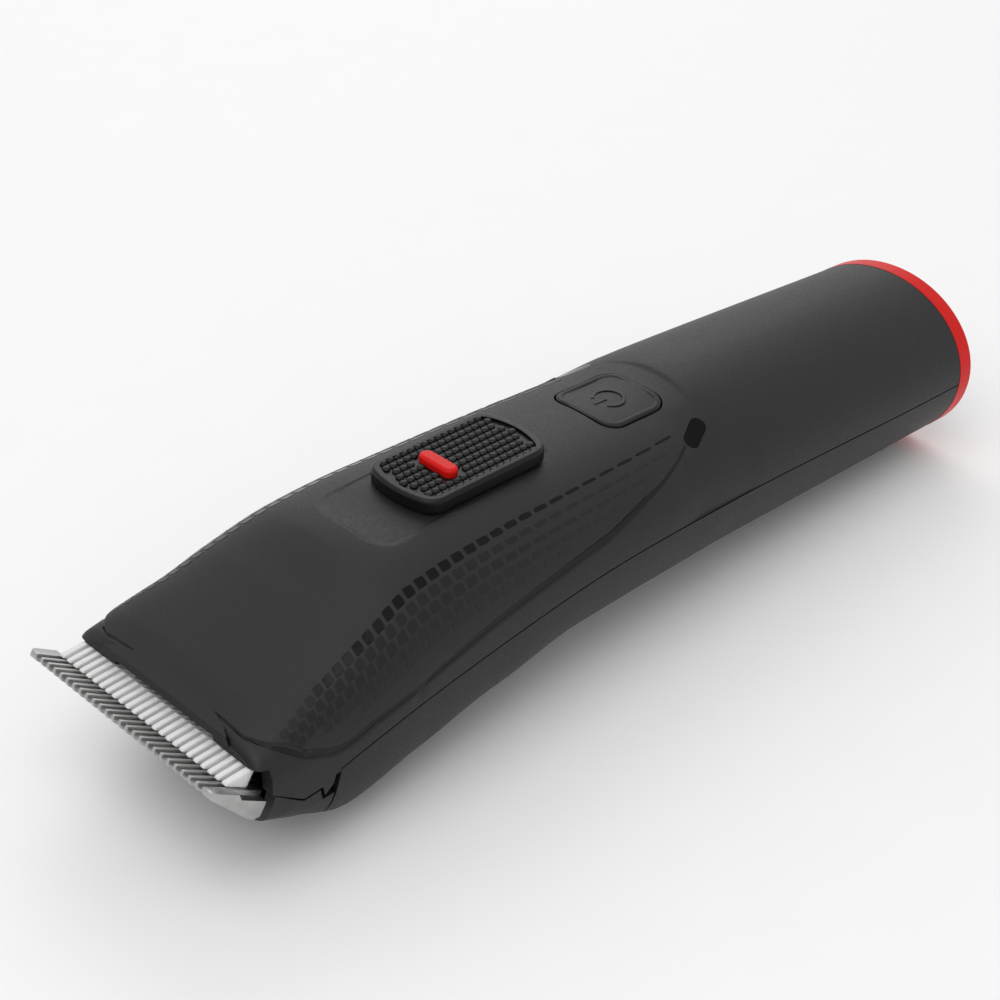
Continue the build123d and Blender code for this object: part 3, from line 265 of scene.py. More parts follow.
def groove_path():
    """Places close together along the crease and the groove, with rounded corners."""
    path = np.array(GROOVE_PATH)
    steps = np.hypot(np.diff(path[:, 0]), PATH_TURN * np.diff(path[:, 1]))
    length = np.concatenate(([0], np.cumsum(steps)))
    t = np.linspace(0, length[-1], PATH_COUNT)
    x = np.interp(t, length, path[:, 0])
    s = np.interp(t, length, path[:, 1])
    window = np.ones(PATH_WINDOW) / PATH_WINDOW
    inner = slice(PATH_WINDOW // 2, -(PATH_WINDOW // 2))
    x[inner] = np.convolve(x, window, "valid")
    s[inner] = np.convolve(s, window, "valid")
    return x, s


def groove_points():
    """Points along the crease and the groove on both sides of the casing."""
    x, s = groove_path()
    return np.concatenate([skin(x, s), skin(x, -s)])


def nearest_target(points, targets):
    """Distance of each point from the closest target, and that target's x."""
    distance = np.full(len(points), np.inf)
    place = np.zeros(len(points))
    at_once = 4000
    for start in range(0, len(points), at_once):
        block = slice(start, start + at_once)
        gaps = ((points[block, None, :] - targets[None, :, :]) ** 2).sum(-1)
        closest = gaps.argmin(1)
        distance[block] = np.sqrt(gaps[np.arange(len(closest)), closest])
        place[block] = targets[closest, 0]
    return distance, place


def carved_depth(flat, around):
    """How far the crease, the groove, the lip and the step behind the button lie below the plain skin."""
    end = GROOVE_PATH[-1][0]
    near = (around < GROOVE_LOWEST) & (flat[:, 0] < end + GROOVE_TAIL)
    distance = np.full(len(flat), np.inf)
    place = np.zeros(len(flat))
    distance[near], place[near] = nearest_target(flat[near], groove_points())
    fade = np.clip((end - flat[:, 0]) / GROOVE_FADE, 0, 1)
    widening = ease((place - GROOVE_WIDENS_X) / (GROOVE_FULL_X - GROOVE_WIDENS_X))
    half_width = CREASE_HALF_WIDTH + widening * (GROOVE_HALF_WIDTH - CREASE_HALF_WIDTH)
    full_depth = CREASE_DEPTH + widening * (GROOVE_DEPTH - CREASE_DEPTH)
    depth = full_depth * fade * ease((half_width - distance) / GROOVE_EDGE + 0.5)
    crease_x, crease_place = np.array(GROOVE_PATH[:CREASE_POINTS]).T
    crease = np.interp(around, crease_place, crease_x)
    above_seam = ease((LIP_SIDE_END - around) / LIP_SIDE_EASE)
    depth += LIP_DROP * ease((crease - flat[:, 0]) / LIP_EASE + 0.5) * above_seam
    nose = np.clip((LIP_ROUND_FROM - flat[:, 0]) / LIP_ROUND, 0, 1)
    depth += LIP_ROUND_DROP * (1 - np.sqrt(1 - nose * nose)) * above_seam
    before_step = STEP_EDGE_X - STEP_EDGE_BOW * around**2 - flat[:, 0]
    step = ease(before_step / STEP_EDGE_EASE + 0.5) * ease(1 - before_step / STEP_EDGE_RUN)
    on_top = ease((STEP_EDGE_SIDE - around) / STEP_EDGE_SIDE_EASE)
    return depth + STEP_EDGE_DROP * step * on_top


def skin_points(x, s):
    """The skin with its crease, groove and recess, just inside the solids."""
    points = skin(x, s)
    normal = skin_normal(x, s)
    flat = points.reshape(-1, 3)
    depth = carved_depth(flat, np.abs(s).reshape(-1))
    flat = flat - (depth + SKIN_INSET)[:, None] * normal.reshape(-1, 3)
    along, across, above = deck_place(flat)
    lowered = smooth_min(above, recess_height(along, across), RECESS_EASE)
    flat = np.where((above > -DECK_DEPTH)[:, None], from_deck(along, across, lowered), flat)
    return flat.reshape(points.shape)


def new_object(name, vertices, faces):
    """A new piece in the scene from its vertices, in metres, and its faces."""
    mesh = bpy.data.meshes.new(name)
    mesh.from_pydata([tuple(v) for v in vertices], [], [tuple(f) for f in faces])
    mesh.validate()
    piece = bpy.data.objects.new(name, mesh)
    bpy.context.scene.collection.objects.link(piece)
    return piece


def turn_outward(piece):
    """Makes the faces of a closed piece point outward."""
    mesh = bmesh.new()
    mesh.from_mesh(piece.data)
    bmesh.ops.recalc_face_normals(mesh, faces=mesh.faces)
    mesh.to_mesh(piece.data)
    mesh.free()


def casing_skin():
    """A closed solid with the fine skin of the whole casing, to cut the shells' outer faces with."""
    first, last = STATION_X[0], STATION_X[-1]
    fine = np.arange(first, SKIN_FINE_TO, SKIN_FINE_STEP)
    coarse = np.linspace(SKIN_FINE_TO, last, int((last - SKIN_FINE_TO) / SKIN_STEP))
    columns = np.concatenate([fine, coarse])
    crown = np.linspace(0, SKIN_SIDE_FROM, SKIN_CROWN_COUNT)[:-1]
    side = np.linspace(SKIN_SIDE_FROM, 1, SKIN_SIDE_COUNT)
    lower = np.linspace(1, 2, SKIN_BOTTOM_COUNT)[1:]
    right = np.concatenate([crown, side, lower])
    around = np.concatenate([-right[::-1][:-1], right[:-1]])
    x, s = np.meshgrid(columns, around, indexing="ij")
    points = skin_points(x, s)
    end = points[-1:] + np.array((SKIN_OVERRUN, 0, 0))
    points = np.concatenate([points, end])
    rows, count = points.shape[:2]
    index = np.arange(rows * count).reshape(rows, count)
    beside = np.roll(index, -1, axis=1)
    faces = np.stack([index[:-1], beside[:-1], beside[1:], index[1:]], -1).reshape(-1, 4).tolist()
    faces.append(index[0][::-1].tolist())
    faces.append(index[-1].tolist())
    solid = new_object("casing_skin", to_row(points).reshape(-1, 3), faces)
    turn_outward(solid)
    return solid


def welded_copy(node, name):
    """A copy of a solid's mesh with its vertices joined, so that it is closed."""
    mesh = bmesh.new()
    mesh.from_mesh(frame["nodes"][node].data)
    bmesh.ops.remove_doubles(mesh, verts=mesh.verts, dist=WELD)
    data = bpy.data.meshes.new(name)
    mesh.to_mesh(data)
    mesh.free()
    if "custom_normal" in data.attributes:
        data.attributes.remove(data.attributes["custom_normal"])
    data.materials.clear()
    piece = bpy.data.objects.new(name, data)
    bpy.context.scene.collection.objects.link(piece)
    return piece


def applied(piece):
    """The piece with its modifiers made part of its mesh."""
    shown = piece.evaluated_get(bpy.context.evaluated_depsgraph_get())
    data = bpy.data.meshes.new_from_object(shown)
    piece.modifiers.clear()
    piece.data = data
    return piece


def cut(piece, other, operation):
    """Cuts or intersects a piece with another and keeps the result as its mesh."""
    modifier = piece.modifiers.new("cut", "BOOLEAN")
    modifier.operation = operation
    modifier.object = other
    modifier.solver = "MANIFOLD"
    return applied(piece)


def smooth(piece, angle=SHARP_ANGLE):
    """Shades a piece smooth, apart from edges sharper than the angle."""
    piece.data.polygons.foreach_set("use_smooth", [True] * len(piece.data.polygons))
    piece.data.set_sharp_from_angle(angle=math.radians(angle))
    return piece


# Materials
NOISE_SPAN = (0.3, 0.7)
BROAD_SCALE = 90
BROAD_DETAIL = 2
FINE_DETAIL = 4
GRAIN_HEIGHT = 0.00005
MIX_FIRST = 6
MIX_SECOND = 7
MIX_COLOUR = 2
CASING_GREY = (0.0078, 0.0078, 0.008)
CELL_BLACK = (0.002, 0.002, 0.002)
CELL_FADED = (0.027, 0.027, 0.0275)
CELL_SHINE = 0.16
CELL_ROUGHNESS = (0.14, 0.42)
CELL_GRAIN = 1500
CELL_RELIEF = 0.04
GLAZE_WEIGHT = 0.4
GLAZE_RADIUS = (1.0, 0.95, 0.9)
GLAZE_SCALE = 0.0005


def shader(name):
    """A new material with its nodes, its links and its surface shader."""
    material = bpy.data.materials.new(name)
    material.use_nodes = True
    nodes = material.node_tree.nodes
    links = material.node_tree.links
    return material, nodes, links, nodes["Principled BSDF"]


def noise(nodes, links, scale, detail=3.0, stretch=(1, 1, 1)):
    """Noise in object space, in metres, stretched along the axes."""
    place = nodes.new("ShaderNodeTexCoord")
    mapping = nodes.new("ShaderNodeMapping")
    mapping.inputs["Scale"].default_value = stretch
    texture = nodes.new("ShaderNodeTexNoise")
    texture.inputs["Scale"].default_value = scale
    texture.inputs["Detail"].default_value = detail
    links.new(place.outputs["Object"], mapping.inputs["Vector"])
    links.new(mapping.outputs["Vector"], texture.inputs["Vector"])
    return texture.outputs["Fac"]


def ramp(nodes, links, value, low, high):
    """Maps a noise value to a span of numbers."""
    scaled = nodes.new("ShaderNodeMapRange")
    scaled.inputs["From Min"].default_value = NOISE_SPAN[0]
    scaled.inputs["From Max"].default_value = NOISE_SPAN[1]
    scaled.inputs["To Min"].default_value = low
    scaled.inputs["To Max"].default_value = high
    links.new(value, scaled.inputs["Value"])
    return scaled.outputs["Result"]


def blend_colours(nodes, links, value, first, second):
    """A colour between two, by a value from 0 to 1."""
    mixed = nodes.new("ShaderNodeMix")
    mixed.data_type = "RGBA"
    links.new(value, mixed.inputs["Factor"])
    mixed.inputs[MIX_FIRST].default_value = (*first, 1)
    mixed.inputs[MIX_SECOND].default_value = (*second, 1)
    return mixed.outputs[MIX_COLOUR]


def bump(nodes, links, value, strength):
    """A fine relief from a noise value."""
    node = nodes.new("ShaderNodeBump")
    node.inputs["Strength"].default_value = strength
    node.inputs["Distance"].default_value = GRAIN_HEIGHT
    links.new(value, node.inputs["Height"])
    return node.outputs["Normal"]


def finish(name, colour, spread, roughness, grain, relief, stretch=(1, 1, 1), metallic=0.0, shine=0.5):
    """A surface with uneven colour, uneven gloss and a fine grain."""
    material, nodes, links, surface = shader(name)
    broad = noise(nodes, links, BROAD_SCALE, BROAD_DETAIL, stretch)
    fine = noise(nodes, links, grain, FINE_DETAIL, stretch)
    darker = tuple(c * (1 - spread) for c in colour)
    lighter = tuple(min(1, c * (1 + spread)) for c in colour)
    links.new(blend_colours(nodes, links, broad, darker, lighter), surface.inputs["Base Color"])
    links.new(ramp(nodes, links, fine, *roughness), surface.inputs["Roughness"])
    links.new(bump(nodes, links, fine, relief), surface.inputs["Normal"])
    surface.inputs["Metallic"].default_value = metallic
    surface.inputs["Specular IOR Level"].default_value = shine
    return material


def fading_cells():
    """Gloss black that fades into the casing's colour where a cell's fade attribute rises."""
    material, nodes, links, surface = shader("cell_gloss")
    fade = nodes.new("ShaderNodeAttribute")
    fade.attribute_name = "fade"
    faded = fade.outputs["Fac"]
    links.new(blend_colours(nodes, links, faded, CELL_BLACK, CELL_FADED), surface.inputs["Base Color"])
    links.new(ramp(nodes, links, faded, *CELL_ROUGHNESS), surface.inputs["Roughness"])
    surface.inputs["Specular IOR Level"].default_value = CELL_SHINE
    fine = noise(nodes, links, CELL_GRAIN)
    links.new(bump(nodes, links, fine, CELL_RELIEF), surface.inputs["Normal"])
    return material


MATERIALS = {
    "soft_touch": finish("soft_touch", CASING_GREY, 0.14, (0.46, 0.58), 2600, 0.12, shine=0.37),
    "satin_black": finish("satin_black", (0.004, 0.004, 0.0043), 0.2, (0.3, 0.42), 1800, 0.08, shine=0.24),
    "gloss_black": finish("gloss_black", (0.002, 0.002, 0.0022), 0.2, (0.1, 0.18), 900, 0.03, shine=0.1),
    "red_trim": finish("red_trim", (0.64, 0.009, 0.007), 0.07, (0.3, 0.4), 1500, 0.05, shine=0.14),
    "blade_steel": finish(
        "blade_steel", (0.42, 0.42, 0.415), 0.15, (0.28, 0.44), 900, 0.2, (6, 0.5, 6), metallic=1.0
    ),
    "ceramic": finish("ceramic", (0.72, 0.72, 0.715), 0.03, (0.22, 0.32), 1200, 0.04),
    "spring_steel": finish("spring_steel", (0.5, 0.5, 0.5), 0.1, (0.2, 0.32), 900, 0.08, (4, 1, 4), 1.0),
    "screw_steel": finish("screw_steel", (0.38, 0.38, 0.39), 0.15, (0.25, 0.4), 1500, 0.1, metallic=1.0),
    "inner_plastic": finish("inner_plastic", (0.7, 0.7, 0.67), 0.06, (0.35, 0.45), 1500, 0.06),
    "motor_steel": finish("motor_steel", (0.5, 0.51, 0.52), 0.12, (0.25, 0.4), 700, 0.1, (1, 4, 4), 1.0),
    "magnet": finish("magnet", (0.06, 0.06, 0.065), 0.2, (0.5, 0.65), 2000, 0.2),
    "bronze": finish("bronze", (0.5, 0.31, 0.12), 0.15, (0.35, 0.5), 2500, 0.2, metallic=1.0),
    "copper": finish("copper", (0.62, 0.29, 0.16), 0.12, (0.25, 0.4), 1200, 0.1, metallic=1.0),
    "board": finish("board", (0.015, 0.13, 0.045), 0.15, (0.3, 0.4), 1600, 0.06),
    "cell_wrap": finish("cell_wrap", (0.035, 0.15, 0.33), 0.1, (0.25, 0.35), 1000, 0.05),
    "nickel": finish("nickel", (0.6, 0.58, 0.54), 0.1, (0.2, 0.32), 1000, 0.06, metallic=1.0),
    "lead_red": finish("lead_red", (0.42, 0.02, 0.02), 0.1, (0.4, 0.5), 1500, 0.06),
}
glaze = MATERIALS["ceramic"].node_tree.nodes["Principled BSDF"]
glaze.inputs["Subsurface Weight"].default_value = GLAZE_WEIGHT
glaze.inputs["Subsurface Radius"].default_value = GLAZE_RADIUS
glaze.inputs["Subsurface Scale"].default_value = GLAZE_SCALE
for part in frame["record"]["subparts"]:
    data = frame["nodes"][part["node"]].data
    data.materials.clear()
    data.materials.append(MATERIALS[part["material_slot"]])


def dress(piece, body, slot, material=None):
    """Gives a piece its material, from its slot unless a material is passed, and the body that it rides on."""
    piece.data.materials.clear()
    piece.data.materials.append(material or MATERIALS[slot])
    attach(piece, body)
    return piece


# Shells and blade holder with the fine skin, and the hook that ends the seam in each cheek
HOOK_OUTLINE = (
    (18.2, -11.9),
    (18.4, -12.6),
    (20.2, -12.4),
    (20.9, -10.6),
    (21.2, -8.9),
    (19.9, -9.1),
    (19.6, -10.4),
    (18.8, -11.3),
)
HOOK_REACH = 30.0


def hook_solid():
    """A bar through both cheeks with the hook's outline, to cut the upper shell with."""
    count = len(HOOK_OUTLINE)
    points = [(x, side * HOOK_REACH, z) for side in (-1, 1) for x, z in HOOK_OUTLINE]
    faces = [(n, (n + 1) % count, (n + 1) % count + count, n + count) for n in range(count)]
    faces += [tuple(range(count)), tuple(range(count, 2 * count))]
    solid = new_object("hook", to_row(points), faces)
    turn_outward(solid)
    return solid


def skinned_shells():
    """Copies of the casing's pieces with the fine skin, in place of the solids."""
    solid = casing_skin()
    hook = hook_solid()
    for node, body in (("upper_shell", "casing"), ("lower_shell", "casing"), ("blade_holder", "blade_head")):
        piece = cut(welded_copy(node, node + "_skin"), solid, "INTERSECT")
        if node == "upper_shell":
            cut(piece, hook, "DIFFERENCE")
        smooth(piece)
        dress(piece, body, "soft_touch")
        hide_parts(node)
    bpy.data.objects.remove(solid)
    bpy.data.objects.remove(hook)


skinned_shells()


# Painted shade: a dark strip on the groove's floor along each side, standing in for the shade that falls in the
# groove
SHADE_STRIP_HALF_WIDTH = ((9.6, 0.2), (11.0, 0.5), (14.0, 0.62), (60.0, 0.55), (97.5, 0.15))
SHADE_STRIP_LIFT = 0.06
SHADE_STRIP_THICKNESS = 0.2
SHADE_STRIP_STEP = 3
SHADE_STRIP_END_GAP = 0.5


def add_groove_shade_strip(side, name):
    """A thin dark strip that follows the groove's floor, painted shade for the groove."""
    x, s = groove_path()
    from_x, from_place = SHADE_STRIP_HALF_WIDTH[0][0], GROOVE_PATH[1][1]
    keep = (x > from_x) & (s > from_place) & (x < SHADE_STRIP_HALF_WIDTH[-1][0] - SHADE_STRIP_END_GAP)
    x, s = x[keep][::SHADE_STRIP_STEP], s[keep][::SHADE_STRIP_STEP]
    middle = skin(x, side * s)
    normal = skin_normal(x, side * s)
    ahead = np.gradient(middle, axis=0)
    across = np.cross(normal, ahead)
    across /= np.linalg.norm(across, axis=1, keepdims=True)
    width = np.interp(x, *np.array(SHADE_STRIP_HALF_WIDTH).T)[:, None]
    top = middle - (carved_depth(middle, s) + SKIN_INSET - SHADE_STRIP_LIFT)[:, None] * normal
    bottom = top - SHADE_STRIP_THICKNESS * normal
    rails = [top + width * across, top - width * across, bottom - width * across, bottom + width * across]
    count = len(x)
    faces = []
    for n in range(len(rails)):
        for m in range(count - 1):
            a = n * count + m
            b = (n + 1) % len(rails) * count + m
            faces.append((a, a + 1, b + 1, b))
    starts = [n * count for n in range(len(rails))]
    faces += [starts, [start + count - 1 for start in starts]]
    shade_strip = new_object(name, to_row(np.concatenate(rails)), faces)
    turn_outward(shade_strip)
    # The strip's satin black is painted shade in the groove, not a dark part of the casing
    return dress(smooth(shade_strip, SOFT_ANGLE), "casing", "satin_black")


add_groove_shade_strip(-1, "groove_shade_near")
add_groove_shade_strip(1, "groove_shade_far")


# Comb and cutter with eased edges
FLAT_ANGLE = 1.0
EASE_ANGLE = 40.0
COMB_EASE = 0.1
COMB_SEGMENTS = 2
CUTTER_EASE = 0.22
CUTTER_SEGMENTS = 3


def eased_copy(node, name, width, segments):
    """A copy of a solid with its edges rounded off."""
    piece = welded_copy(node, name)
    mesh = bmesh.new()
    mesh.from_mesh(piece.data)
    flat = math.radians(FLAT_ANGLE)
    bmesh.ops.dissolve_limit(mesh, angle_limit=flat, verts=mesh.verts, edges=mesh.edges)
    mesh.to_mesh(piece.data)
    mesh.free()
    modifier = piece.modifiers.new("ease", "BEVEL")
    modifier.width = width * MM
    modifier.segments = segments
    modifier.limit_method = "ANGLE"
    modifier.angle_limit = math.radians(EASE_ANGLE)
    return smooth(applied(piece))


comb = eased_copy("comb_blade", "comb_ground", COMB_EASE, COMB_SEGMENTS)
dress(comb, "blade_head", "blade_steel")
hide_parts("comb_blade")
cutter = eased_copy("cutter_blade", "cutter_ribbed", CUTTER_EASE, CUTTER_SEGMENTS)
dress(cutter, "cutter", "ceramic")
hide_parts("cutter_blade")

# Rows of small tiles along both sides, which shrink to dashes and fade out towards the tail
CELL_FROM = 13.2
CELL_TO = 96.0
CELL_PITCH = 1.72
CELL_PITCH_GROWTH = 0.014
CELL_PITCH_CURVE = 0.00035
CELL_ROWS = 6
CELL_ROW_STEP = 0.076
CELL_ROW_PLACE = (
    (13.2, 0.55),
    (16.8, 0.51),
    (20.2, 0.48),
    (31.8, 0.48),
    (40.5, 0.455),
    (62.8, 0.42),
    (96.0, 0.39),
)
CELL_LOW_PLACE = (
    (13.2, 0.70),
    (23.0, 0.77),
    (36.0, 0.84),
    (49.0, 0.80),
    (62.0, 0.74),
    (76.0, 0.67),
    (94.0, 0.44),
)
CELL_WIDTH = (
    (13.2, 1.2),
    (20.0, 1.45),
    (30.0, 1.75),
    (46.0, 1.6),
    (58.0, 1.05),
    (72.0, 0.55),
    (96.0, 0.4),
)
CELL_FILL = 0.76
CELL_CORNER = 5.0
CELL_SIDES = 20
CELL_RISE = 0.05
CELL_SINK = 0.12
CELL_PROFILE = ((1, -CELL_SINK), (1, CELL_RISE / 2), (0.93, CELL_RISE))
CELL_SHARP_ANGLE = 12.0
CELL_TURN = 0.005
CELL_ROW_FADES = (0.0, 0.52, 0.54, 0.66, 0.77, 0.86)
CELL_FRONT_FADE = 0.6
CELL_FRONT_X = 23.5
CELL_FRONT_RUN = 5.0
CELL_FADE_FROM = 60.0
CELL_FADE_SPAN = 130.0
CELL_FADE_MOST = 0.97


def at_place(table, x):
    """The value at x in a table of x and value."""
    return float(np.interp(x, *np.array(table).T))


def rounded_ring(count, power):
    """Points round a unit square with soft corners."""
    angle = np.linspace(0, 2 * math.pi, count, endpoint=False)
    return (
        np.sign(np.cos(angle)) * np.abs(np.cos(angle)) ** (2 / power),
        np.sign(np.sin(angle)) * np.abs(np.sin(angle)) ** (2 / power),
    )


def rings_to_faces(start, rings, count):
    """Faces that join rings of points one above another, closed by a fan at the last point."""
    faces = []
    for ring in range(rings - 1):
        for n in range(count):
            a = start + ring * count + n
            b = start + ring * count + (n + 1) % count
            faces.append((a, b, b + count, a + count))
    top = start + rings * count
    for n in range(count):
        faces.append((top - count + n, top - count + (n + 1) % count, top))
    return faces


def cell_columns():
    """The x of each column of tiles, and the pitch there."""
    x = CELL_FROM
    while x < CELL_TO:
        run = x - CELL_FROM
        pitch = CELL_PITCH + CELL_PITCH_GROWTH * run + CELL_PITCH_CURVE * run**2
        yield x, pitch
        x += pitch


def cell_fade(row, x):
    """How far a tile has faded into the casing's colour."""
    if row == 0:
        return CELL_FRONT_FADE * float(ease((CELL_FRONT_X - x) / CELL_FRONT_RUN))
    return CELL_ROW_FADES[row] + max(0, x - CELL_FADE_FROM) / CELL_FADE_SPAN


def above_skin(x, s, height):
    """A point straight above the inset skin."""
    return skin(x, s) + (height - SKIN_INSET) * skin_normal(x, s)


def add_cells():
    """All tiles of both sides as one piece, with their fade as an attribute."""
    vertices, faces, fades = [], [], []
    ring_x, ring_s = rounded_ring(CELL_SIDES, CELL_CORNER)
    for side in (-1, 1):
        for start, pitch in cell_columns():
            for row in range(CELL_ROWS):
                x = start + (row % 2) * pitch / 2
                s = at_place(CELL_ROW_PLACE, x) + row * CELL_ROW_STEP
                fade = cell_fade(row, x)
                if s > at_place(CELL_LOW_PLACE, x) and row > 0 or fade > CELL_FADE_MOST:
                    continue
                turn = skin(x, s + CELL_TURN) - skin(x, s - CELL_TURN)
                around = np.linalg.norm(turn) / (2 * CELL_TURN)
                half_length = CELL_FILL * pitch / 2
                half_turn = at_place(CELL_WIDTH, x) / 2 / around
                first = len(vertices)
                for reach, height in CELL_PROFILE:
                    xs = x + reach * half_length * ring_x
                    turns = side * (s + reach * half_turn * ring_s)
                    vertices.extend(to_row(above_skin(xs, turns, height)))
                vertices.append(to_row(above_skin(x, side * s, CELL_RISE)))
                fades.extend([min(1, fade)] * (len(vertices) - first))
                faces.extend(rings_to_faces(first, len(CELL_PROFILE), CELL_SIDES))
    cells = new_object("side_cells", vertices, faces)
    attribute = cells.data.attributes.new("fade", "FLOAT", "POINT")
    attribute.data.foreach_set("value", fades)
    turn_outward(cells)
    smooth(cells, CELL_SHARP_ANGLE)
    return dress(cells, "casing", "gloss_black", fading_cells())


add_cells()

# Slider grip: staggered scales inside the rim, with a bare place round the marker
GRIP_FLOOR = 2.05
GRIP_ALONG = 1.37
GRIP_ACROSS = 1.5
GRIP_RADIUS = 0.66
GRIP_HEIGHT = 0.42
GRIP_TILT = 0.28
GRIP_END = 11.9
GRIP_END_BOW = 1.6
GRIP_SIDE = 6.1
GRIP_SIDES = 14
GRIP_PROFILE = ((1.0, -0.3), (1.0, 0.35), (0.9, 0.8), (0.7, 1.0))
MARKER_ALONG = -4.1
MARKER_HALF_LENGTH = 3.6
MARKER_HALF_WIDTH = 1.25
GRIP_TIP = 1.02
GRIP_GAP_ALONG = 0.8
GRIP_GAP_ACROSS = 0.6


def add_grip():
    """All scales of the slider as one piece."""
    vertices, faces = [], []
    angle = np.linspace(0, 2 * math.pi, GRIP_SIDES, endpoint=False)
    rows = int(GRIP_SIDE / GRIP_ACROSS)
    columns = int(GRIP_END / GRIP_ALONG)
    for row in range(-rows, rows + 1):
        for column in range(-columns, columns + 1):
            along = (column + 0.5 * (row % 2)) * GRIP_ALONG
            across = row * GRIP_ACROSS
            end = GRIP_END - GRIP_END_BOW * (across / GRIP_SIDE) ** 2 - GRIP_RADIUS
            by_marker = abs(along - MARKER_ALONG) < MARKER_HALF_WIDTH + GRIP_GAP_ALONG * GRIP_RADIUS
            beside = abs(across) < MARKER_HALF_LENGTH + GRIP_GAP_ACROSS * GRIP_RADIUS
            if abs(along) > end or by_marker and beside:
                continue
            first = len(vertices)
            for reach, rise in GRIP_PROFILE:
                a = along + reach * GRIP_RADIUS * np.cos(angle)
                b = across + reach * GRIP_RADIUS * np.sin(angle)
                tilt = 1 + GRIP_TILT * reach * np.cos(angle) if rise > 0 else 1
                height = GRIP_FLOOR + GRIP_HEIGHT * rise * tilt
                vertices.extend(to_row(from_deck(a, b, height)))
            top = GRIP_FLOOR + GRIP_HEIGHT * GRIP_TIP
            vertices.append(to_row(from_deck(np.array(along), np.array(across), top)))
            faces.extend(rings_to_faces(first, len(GRIP_PROFILE), GRIP_SIDES))
    grip = new_object("slider_grip", vertices, faces)
    turn_outward(grip)
    return dress(smooth(grip, SOFT_ANGLE), "slider", "satin_black")


add_grip()

# Power button: a raised rim and the power symbol on its crown
BUTTON_X = 94.0
BUTTON_HALF_SIDE = 6.6
BUTTON_CORNER = 3.0
CORNER_COUNT = 10
CROWN_LOWEST = 0.9
CROWN_HALVINGS = 30
RIM_PROFILE = ((0.0, -0.2), (0.0, 0.1), (0.22, 0.26), (0.62, 0.26), (0.95, 0.02), (0.95, -0.2))
SYMBOL_RADIUS = 2.5
SYMBOL_GAP = 38.0
SYMBOL_COUNT = 48
SYMBOL_BAR = (0.6, 3.2)
SYMBOL_BAR_COUNT = 6
STROKE_PROFILE = ((-0.28, -0.2), (-0.28, 0.05), (-0.18, 0.1), (0.18, 0.1), (0.28, 0.05), (0.28, -0.2))


def crown_height(x, y):
    """Height of the casing's plain crown above a place in plan."""
    low = np.zeros_like(x)
    high = np.full_like(x, CROWN_LOWEST)
    for _ in range(CROWN_HALVINGS):
        middle = (low + high) / 2
        inside = section(x, middle)[0] < np.abs(y)
        low = np.where(inside, middle, low)
        high = np.where(inside, high, middle)
    return section(x, low)[1]


def ridge(name, path, profile, closed):
    """A low ridge that follows a path in plan on the crown of the button."""
    path = np.array(path)
    if closed:
        ahead = np.roll(path, -1, axis=0) - np.roll(path, 1, axis=0)
    else:
        ahead = np.gradient(path, axis=0)
    ahead /= np.linalg.norm(ahead, axis=1, keepdims=True)
    inward = np.stack([-ahead[:, 1], ahead[:, 0]], -1)
    vertices = []
    for offset, height in profile:
        plan = path + offset * inward
        z = crown_height(plan[:, 0], plan[:, 1]) + height
        vertices.append(np.stack([plan[:, 0], plan[:, 1], z], -1))
    count, points = len(profile), len(path)
    faces = []
    for n in range(count):
        for m in range(points if closed else points - 1):
            a, b = n * points + m, n * points + (m + 1) % points
            up = (n + 1) % count * points
            faces.append((a, b, up + (m + 1) % points, up + m))
    if not closed:
        faces.append([n * points for n in range(count)])
        faces.append([n * points + points - 1 for n in range(count)])
    piece = new_object(name, to_row(np.concatenate(vertices)), faces)
    turn_outward(piece)
    return smooth(piece, SOFT_ANGLE)


def rounded_square(half, corner):
    """The button's outline in plan."""
    path = []
    for n, (cx, cy) in enumerate(((1, 1), (-1, 1), (-1, -1), (1, -1))):
        for t in np.linspace(0, math.pi / 2, CORNER_COUNT):
            a = n * math.pi / 2 + t
            x = BUTTON_X + cx * (half - corner) + corner * math.cos(a)
            y = cy * (half - corner) + corner * math.sin(a)
            path.append((x, y))
    return path


def add_button_marks():
    """The rim of the button and the two strokes of its symbol."""
    outline = rounded_square(BUTTON_HALF_SIDE, BUTTON_CORNER)
    dress(ridge("button_rim", outline, RIM_PROFILE, True), "button", "soft_touch")
    turn = np.radians(np.linspace(180 + SYMBOL_GAP, 540 - SYMBOL_GAP, SYMBOL_COUNT))
    arc = np.stack([BUTTON_X + SYMBOL_RADIUS * np.cos(turn), SYMBOL_RADIUS * np.sin(turn)], -1)
    dress(ridge("power_ring", arc, STROKE_PROFILE, False), "button", "satin_black")
    bar = [(BUTTON_X - d, 0.0) for d in np.linspace(*SYMBOL_BAR, SYMBOL_BAR_COUNT)]
    dress(ridge("power_bar", bar, STROKE_PROFILE, False), "button", "satin_black")


add_button_marks()

# Camera at the photograph's angle, from a fit in the handle frame
CAMERA_AT = (-120.72, -177.42, 162.56)
CAMERA_RIGHT = (0.708, -0.703, 0.069)
CAMERA_UP = (0.324, 0.410, 0.852)
CAMERA_LENS = 72.0
CAMERA_CLIP = 0.01
LIGHT_TARGET = (0, 0, 0.02)
FLOOR_HALF = 3.0
FLOOR_WHITE = (0.95, 0.95, 0.95)


def turned(direction):
    """A direction of the handle frame in the row frame."""
    x, y, z = direction
    return Vector(x * ALONG + y * ACROSS + z * ABOVE).normalized()


def add_camera():
    data = bpy.data.cameras.new("camera")
    data.lens = CAMERA_LENS
    data.clip_start = CAMERA_CLIP
    camera = bpy.data.objects.new("camera", data)
    bpy.context.scene.collection.objects.link(camera)
    right = turned(CAMERA_RIGHT)
    up = turned(CAMERA_UP)
    back = right.cross(up).normalized()
    up = back.cross(right)
    matrix = Matrix((right, up, back)).transposed().to_4x4()
    matrix.translation = Vector(to_row(CAMERA_AT))
    camera.matrix_world = matrix
    bpy.context.scene.camera = camera


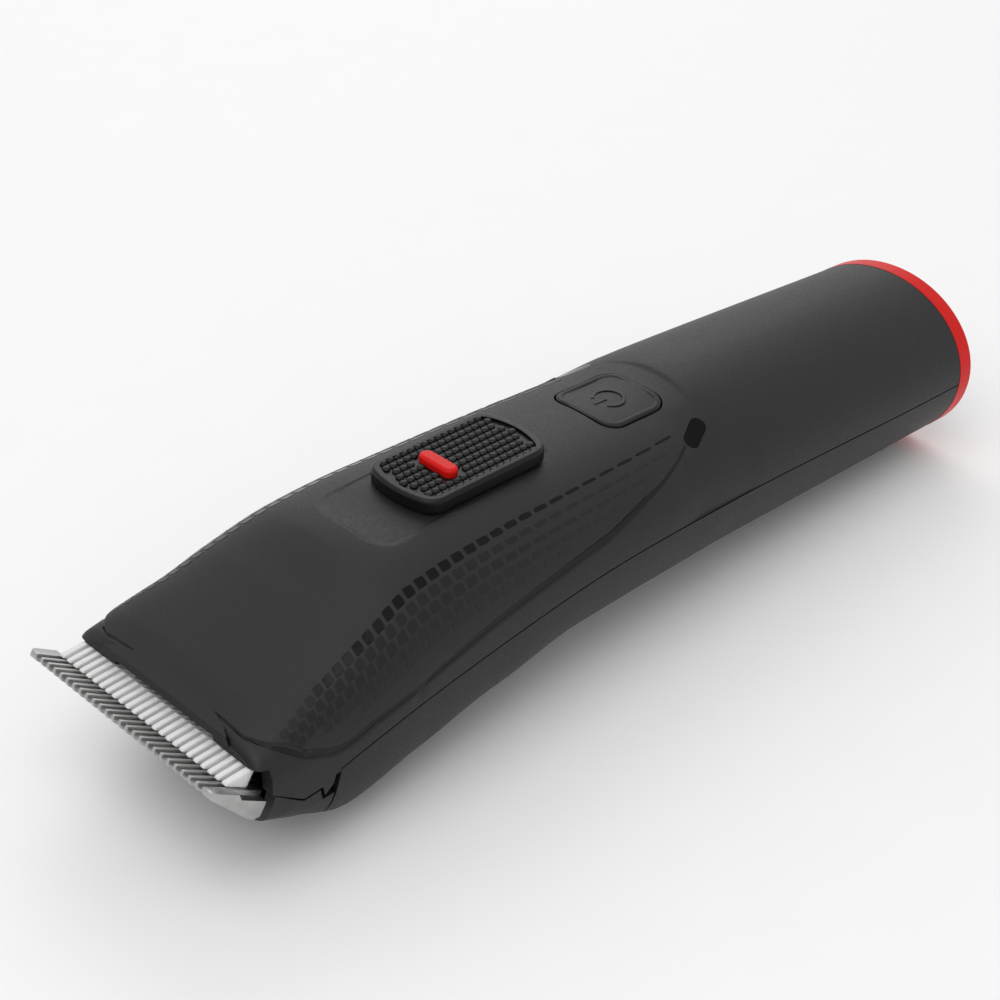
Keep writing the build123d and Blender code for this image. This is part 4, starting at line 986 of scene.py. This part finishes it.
def add_light(name, at, size, power):
    """A square soft lamp that points at the part."""
    data = bpy.data.lights.new(name, "AREA")
    data.size = size
    data.energy = power
    lamp = bpy.data.objects.new(name, data)
    bpy.context.scene.collection.objects.link(lamp)
    lamp.location = at
    aim = Vector(LIGHT_TARGET) - Vector(at)
    lamp.rotation_euler = aim.to_track_quat("-Z", "Y").to_euler()


def add_world(light, shown):
    """Even white light, and a white background for the camera and for reflections."""
    world = bpy.data.worlds.new("studio")
    world.use_nodes = True
    bpy.context.scene.world = world
    nodes = world.node_tree.nodes
    links = world.node_tree.links
    nodes["Background"].inputs["Strength"].default_value = light
    nodes["Background"].inputs["Color"].default_value = (1, 1, 1, 1)
    white = nodes.new("ShaderNodeBackground")
    white.inputs["Strength"].default_value = shown
    path = nodes.new("ShaderNodeLightPath")
    mixed = nodes.new("ShaderNodeMixShader")
    mirrored = nodes.new("ShaderNodeMath")
    mirrored.operation = "MAXIMUM"
    links.new(path.outputs["Is Glossy Ray"], mirrored.inputs[0])
    links.new(path.outputs["Is Transmission Ray"], mirrored.inputs[1])
    seen = nodes.new("ShaderNodeMath")
    seen.operation = "MAXIMUM"
    links.new(path.outputs["Is Camera Ray"], seen.inputs[0])
    links.new(mirrored.outputs["Value"], seen.inputs[1])
    links.new(seen.outputs["Value"], mixed.inputs["Fac"])
    links.new(nodes["Background"].outputs["Background"], mixed.inputs[1])
    links.new(white.outputs["Background"], mixed.inputs[2])
    links.new(mixed.outputs["Shader"], nodes["World Output"].inputs["Surface"])


def add_floor():
    """A plain pale floor that keeps the part's shadow."""
    corners = ((-1, -1), (1, -1), (1, 1), (-1, 1))
    floor = new_object("floor", [(FLOOR_HALF * x, FLOOR_HALF * y, 0) for x, y in corners], [(0, 1, 2, 3)])
    floor.data.materials.append(finish("floor_paper", FLOOR_WHITE, 0.01, (0.8, 0.9), 300, 0.0))


add_camera()
add_floor()
add_world(light=0.62, shown=1.0)
add_light("key", at=(-0.35, -0.15, 0.75), size=0.7, power=2.6)
add_light("rim", at=(0.45, 0.55, 0.55), size=0.6, power=1.6)
bpy.context.scene.view_settings.view_transform = "Standard"
